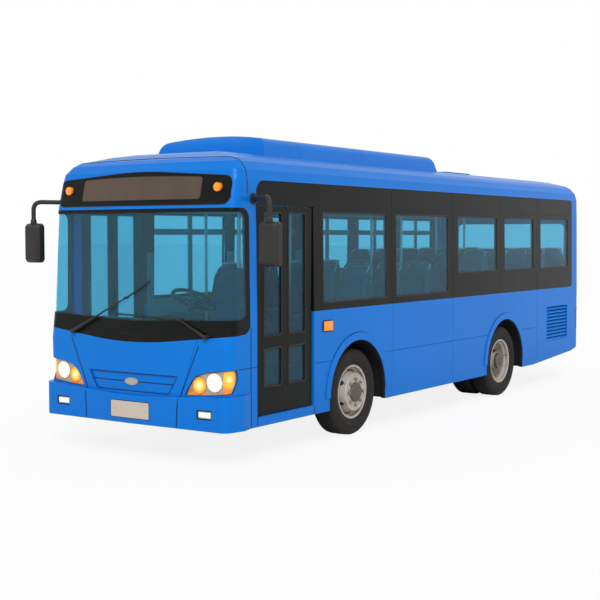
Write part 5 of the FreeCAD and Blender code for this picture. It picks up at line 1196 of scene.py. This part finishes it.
def makeSeatParts():
    cushion, back = makeCushion(), makeBack()
    loops = (roundedLoop((-0.125, 0.800), (0.125, 0.955), 0.06, 4),
             roundedLoop((-0.130, 0.470), (0.130, 0.780), 0.05, 4))
    pipes = [laidOn(back, loop) for loop in loops]
    pipes.append(laidOn(back, [(-0.12 + 0.02 * step, 0.62) for step in range(13)], closed=False))
    backPipes = leaned(joined(pipes))
    leaned(back)
    edge = [(x * 0.97, y) for x, y in roundedLoop((-0.135, -0.385), (0.135, -0.050), 0.04, 4)]
    seatPipes = laidOn(cushion, edge, True)
    behind = seat["backReach"][1]
    shell = leaned(addPlate(backOutline(1.015), "Y", behind + 0.004, behind + 0.014, 0.004))
    pan = addPlate(roundedLoop((-0.200, -0.415), (0.200, -0.005), 0.04), "Z", 0.326, 0.342, 0.004)
    hinge = addDrum((-0.216, 0.005, 0.385), (0.216, 0.005, 0.385), 0.026, 16, 0.004)
    return {"cushion": cushion, "back": back, "piping": joined([backPipes, seatPipes]),
            "shell": joined([shell, pan, hinge]), "handle": addTube(seat["handle"], 0.010, 0.05, 2)}


def standAt(y, floor, x):
    # Height of the floor or wheel box under a leg
    inBox = any(low < y < high for low, high in seat["boxes"]) and abs(x) > seat["boxFrom"]
    return max(floor, seat["boxTop"]) if inBox else floor


def makeSeats():
    parts = makeSeatParts()
    for block in ("front", "rear"):
        spec = seat[block]
        floor = spec["floor"]
        for side, sign in (("Left", 1), ("Right", -1)):
            made = {key: [] for key in parts}
            legs = []
            for row in range(spec["rows"]):
                y = spec["first"] + spec["pitch"] * row
                for across in seat["across"]:
                    x, foot = across * sign, standAt(y - 0.2, floor, across)
                    for key, part in parts.items():
                        made[key].append(copied(part, (x, y, floor)))
                    legs.append(addBlock((x - 0.022, y - 0.30, foot), (x + 0.022, y - 0.13, floor + 0.33), 0.006, 1))
                    legs.append(addBlock((x - 0.035, y - 0.37, foot), (x + 0.035, y - 0.06, foot + 0.012), 0.004, 1))
                for back in (-0.34, -0.09):
                    legs.append(addDrum((0.27 * sign, y + back, floor + 0.315), (1.115 * sign, y + back, floor + 0.315),
                                        0.014, 12, 0))
            tag = block.capitalize() + side
            for key, pieces in made.items():
                piece = dress(key + tag, seat["finishes"][key], *pieces)
                if key in ("cushion", "back"):
                    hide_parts("passenger_seats")
            dress("seatLegs" + tag, "chassisPaint", *legs)
    makeDriverSeat(parts)
    discard(*parts.values())


driver = {"place": (0.38, -3.42, 0.86), "wider": 1.16, "base": (0.125, 0.16), "bellows": 5, "pleat": 0.052,
          "fill": 0.75}


def makeDriverSeat(parts):
    place, wider = driver["place"], Matrix.Scale(driver["wider"], 4, (1, 0, 0))
    for key in ("cushion", "back"):
        piece = modified(copied(parts[key], place, wider), "SUBSURF", levels=1, render_levels=1)
        dress("driver" + key.capitalize(), "seatCloth", smooth(piece, 70), hides=["driver_seat"])
    for key in ("piping", "shell"):
        dress("driver" + key.capitalize(), seat["finishes"][key], copied(parts[key], place, wider))
    x, y, floor = place
    half, deep = driver["base"]
    base = []
    for number in range(driver["bellows"]):
        rise = floor + 0.05 + driver["pleat"] * number
        swell = 0.012 if number % 2 else 0
        base.append(addBlock((x - half - swell, y - 0.21 - deep - swell, rise),
                             (x + half + swell, y - 0.21 + deep + swell, rise + 0.05), 0.016, 2))
    base.append(addBlock((x - 0.17, y - 0.40, floor), (x + 0.17, y - 0.02, floor + 0.055), 0.008))
    for side in (-1, 1):
        hub, axle = Vector((x + side * 0.262, y + 0.03, floor + 0.62)), Vector((0.014, 0, 0))
        base.append(addDrum(hub - axle, hub + axle, 0.03, 20, 0.004))
        base.append(addBlock(hub + Vector((-0.024, -0.30, -0.018)), hub + Vector((0.024, 0.02, 0.026)), 0.016, 3))
    dress("driverBase", "seatShell", *base)


# Linings, ceiling, rails and the bars of the far windows
cabin = {
    "wall": 1.148, "thick": 0.006, "sillFront": 1.475, "sillRear": 1.705, "step": 0.145, "front": -2.98, "rear": 4.14,
    "floorStep": 0.95, "floorFront": 0.87, "floorRear": 1.01, "ductLow": 2.47, "ductHigh": 2.70, "ceiling": 2.985,
    "barHeights": (2.215, 2.285), "barDepth": (-1.176, -1.150), "rail": (0.36, 2.62), "strip": 0.42,
    "bays": (-3.9, -2.9, -1.9, -0.9, 0.1, 1.1, 2.1, 3.1), "hangers": (-1.4, 0.2, 1.8, 3.1),
}


def makeCabin():
    wall, inner = cabin["wall"], cabin["wall"] - cabin["thick"]
    front, rear, sillFront, sillRear = (cabin[key] for key in ("front", "rear", "sillFront", "sillRear"))
    floorFront, floorRear, duct = cabin["floorFront"], cabin["floorRear"], cabin["ductLow"]
    low = [(front, floorFront)]
    for (start, end), base in zip(seat["boxes"], (floorFront, floorRear)):
        above = seat["boxTop"] + 0.004
        low += [(start - 0.002, base), (start - 0.002, above), (end + 0.002, above), (end + 0.002, base)]
        if start < 0:
            low += [(cabin["floorStep"], floorFront), (cabin["floorStep"], floorRear)]
    low += [(rear, floorRear), (rear, sillRear), (cabin["step"], sillRear), (cabin["step"], sillFront),
            (front, sillFront)]
    panels = [addPlate(low, "X", inner, wall, 0)]
    edges = [front, *(y for start, end, _ in windows["ranges"] for y in (start - 0.012, end + 0.012)), rear]
    for start, end in zip(edges[0::2], edges[1::2]):
        sill = sillFront if end < 0.3 else sillRear
        panels.append(addBlock((inner, start, sill), (wall, end, duct + 0.01), 0.002, 1))
    # The lining panels and far window bars are painted lighter to make up for the dim light inside
    dress("sideLinings", "liningPanel", *panels, both=True)
    outline = [(wall, duct), (wall, cabin["ductHigh"]), (0.88, 2.86), (0.86, 2.83), (1.02, duct + 0.05), (1.05, duct)]
    # The ducts and ceiling are painted lighter to make up for the dim light inside
    dress("airDucts", "ceilingPanel", addPlate(outline, "Y", front, rear, 0.006), both=True)
    top = cabin["ceiling"]
    dress("ceilingPanels", "ceilingPanel", *(addBlock((-0.55, y, top), (0.55, y + 0.98, top + 0.01), 0.003, 1)
                                             for y in cabin["bays"]))
    strips = [(side * cabin["strip"], y + 0.1) for side in (-1, 1) for y in cabin["bays"]]
    dress("lightStrips", "lightStrip", *(addBlock((x - 0.05, y, top - 0.016), (x + 0.05, y + 0.8, top), 0.006)
                                         for x, y in strips))
    bars = []
    (near, far), (barLow, barHigh) = cabin["barDepth"], cabin["barHeights"]
    for start, end, sill in windows["ranges"]:
        middle = (start + end) / 2
        bars.append(addBlock((near, start, barLow), (far, end, barHigh), 0.006))
        bars.append(addBlock((near + 0.001, middle - 0.035, sill), (far - 0.001, middle + 0.035, windows["top"]),
                             0.006))
    dress("farWindowBars", "liningPanel", *bars)
    x, z = cabin["rail"]
    rails = [addTube([(x, front + 0.3, top), (x, front + 0.3, z), (x, 3.9, z), (x, 3.9, top)], 0.015, 0.08)]
    for y in cabin["hangers"]:
        rails.append(addDrum((x, y, z), (x, y, top), 0.010, 12, 0))
        rails.append(addDrum((x, y, top - 0.012), (x, y, top), 0.028, 16, 0.003))
    dress("ceilingRails", "poleSteel", *rails, both=True)


# Instrument hood, switches and vents of the dashboard, and the details of the hand wheel
dash = {
    "hood": ((0.13, -4.36, 1.355), (0.63, -4.14, 1.455)), "wheel": (0.38, -3.99, 1.56), "tilt": 28,
    "dials": ((0.28, 0.052), (0.42, 0.052), (0.52, 0.030)), "dialPlace": (-4.150, 1.395),
    "switches": 6, "switchFrom": 0.66, "switchPitch": 0.045, "vents": (-0.75, -0.35, 0.05, 0.80), "ventPitch": 0.022,
    "grip": (0.225, 0.020), "horn": ((0.012, 0), (0.012, 0.062), (0.024, 0.060), (0.034, 0.045), (0.037, 0.02),
                                     (0.0375, 0)),
}


def makeHood():
    # A block that narrows upwards, with a crowned top
    low, high = (Vector(corner) for corner in dash["hood"])
    hood = addBlock(low, high, 0)
    with editing(hood):
        bpy.ops.mesh.subdivide(number_cuts=4)
    for vertex in hood.data.vertices:
        u = (vertex.co.x - low.x) / (high.x - low.x) * 2 - 1
        rise = (vertex.co.z - low.z) / (high.z - low.z)
        front = (vertex.co.y - low.y) / (high.y - low.y)
        vertex.co.z -= rise * (0.045 * u * u + 0.05 * (1 - front) ** 2)
        vertex.co.y -= 0.05 * rise * front
    return roundEdges(hood, 0.012, 3)


def makeDash():
    pieces = [makeHood()]
    for x, size in dash["dials"]:
        ring = [(0, size), (0.012, size), (0.012, size - 0.005), (0, size - 0.007)]
        pieces.append(addTurned(ring, 32, facing="rear", centre=(x, *dash["dialPlace"])))
    for number in range(dash["switches"]):
        x = dash["switchFrom"] + dash["switchPitch"] * number
        pieces.append(addBlock((x, -4.150, 1.330), (x + 0.034, -4.112, 1.352)))
    for x in dash["vents"]:
        for y in (-4.32 + dash["ventPitch"] * slat for slat in range(4)):
            pieces.append(addBlock((x - 0.10, y, 1.358), (x + 0.10, y + 0.01, 1.366), 0.002, 1))
    dress("dashDetails", "mirrorShell", *pieces)
    radius, thick = dash["grip"]
    grip = [(thick * math.cos(turn), radius + thick * math.sin(turn)) for turn in map(math.radians, range(0, 360, 30))]
    hand = joined([
        addTurned(grip, 72, facing="up"),
        addTurned(dash["horn"], 40, closed=False, facing="up"),
        addBlock((-0.215, -0.024, -0.006), (0.215, 0.024, 0.014), 0.006),
        addBlock((-0.024, 0, -0.006), (0.024, 0.215, 0.014), 0.006),
        addDrum((0, 0, -0.30), (0, 0, 0.01), 0.036, 24, 0.004, 0.030),
        *(addDrum((side * 0.03, 0, -0.07), (side * 0.17, 0, -0.05), 0.009, 10, 0.002) for side in (-1, 1)),
    ])
    tilt = Matrix.Rotation(math.radians(-dash["tilt"]), 4, "X")
    hand.data.transform(Matrix.Translation(Vector(dash["wheel"])) @ tilt)
    dress("handWheel", "mirrorShell", hand)


# Roof: seams and vents of the pod, and an escape hatch
roof = {"seams": (-2.600, -1.300), "seamFoot": 3.06, "seamBead": (0.022, 0.0213), "vents": (-1.05, 0.30, 18),
        "hatch": ((-0.36, 1.55), (0.36, 2.35))}


def evenly(start, end, count):
    return [start + (end - start) * number / (count - 1) for number in range(count)]


def makeRoof():
    beads, foot = [], roof["seamFoot"]
    radius, sink = roof["seamBead"]
    for y in roof["seams"]:
        line = [place - normal * sink for place, normal in wrapped("roof_pod", y, foot, range(181))
                if place.z > foot + 0.006]
        beads.append(addBead(line, radius))
    dress("podSeams", "jointSeal", *beads)
    slats = [addPatch("top", "roof_pod", roundedLoop((-0.42, y - 0.012), (0.42, y + 0.012), 0.01, 2), -0.006, 0.0065, 1)
             for y in evenly(*roof["vents"])]
    dress("podVents", "linerPlastic", *slats)
    low, high = roof["hatch"]
    dress("roofHatch", "bluePaint", addPatch("top", "roof_shell", roundedLoop(low, high, 0.06), 0.002, 0.035, 2, 0.010))
    loop = roundedLoop(low, high, 0.07, grow=(0.012, 0.012))
    dress("hatchSeal", "sealRubber", addBead(traced("top", "roof_shell", loop, 0.06, ring=True), 0.010))


# Rear end: low and high corner of each mark, and the hatch slats as first height, last height and number
tail = {
    "plate": ((-0.26, 0.520), (0.26, 0.680)), "slats": (0.93, 1.16, 7), "slatHalf": 0.40, "handle": 1.245,
    "reflector": ((0.80, 0.600), (0.96, 0.640)), "stopLamp": ((-0.16, 2.500), (0.16, 2.530)),
}


def rearMark(node, box, radius, lift=-0.003, thickness=0.0034, steps=6, grow=(0, 0), cuts=2):
    return addPatch("rear", node, roundedLoop(*box, radius, steps, grow), lift, thickness, cuts, 0)


def makeRear():
    dress("rearWindowSeal", "sealRubber", addRimBead("rear_window", (0, 3.2), 0.010))
    dress("tailLampSeals", "sealRubber", addRimBead("tail_lamps", (0.6, 3.9), 0.006))
    back = rearMark("rear_bumper", tail["plate"], 0.014, -0.004, 0.0043, grow=(0.01, 0.01))
    dress("rearPlateBack", "sealRubber", back)
    dress("rearPlate", "plateCream", rearMark("rear_bumper", tail["plate"], 0.010, 0.0002, 0.0004))
    half = tail["slatHalf"]
    slats = [rearMark("engine_hatch", ((-half, z - 0.009), (half, z + 0.009)), 0.008, steps=2, cuts=1)
             for z in evenly(*tail["slats"])]
    dress("hatchSlats", "linerPlastic", *slats, body="engine_hatch")
    z = tail["handle"]
    grip = rearMark("engine_hatch", ((-0.07, z - 0.018), (0.07, z + 0.018)), 0.016, thickness=0.0036, cuts=1)
    dress("hatchHandle", "mirrorShell", grip, body="engine_hatch")
    # The reflectors take the red lens finish with its faint glow: a painted glow, as a reflector is no lamp
    dress("rearReflectors", "redLens", rearMark("rear_bumper", tail["reflector"], 0.010), both=True)
    dress("stopLamp", "redLens", rearMark("rear_wall", tail["stopLamp"], 0.012))


setCamera()
setFloor()
setLight()
makeFinishes()
print("camera, light and finishes set")
makeJoints()
makeWindowSeals()
print("body joints and window seals made")
makeWheels()
makeArches()
print("wheels and arches made")
makeHeadlamps()
makeSmallLamps()
makeNose()
makeSign()
makeWipers()
makeMirrors()
print("front made")
makeDoors()
print("doors made")
makeSeats()
print("seats made")
makeCabin()
makeDash()
print("cabin made")
makeRoof()
makeRear()
print("roof and rear made")
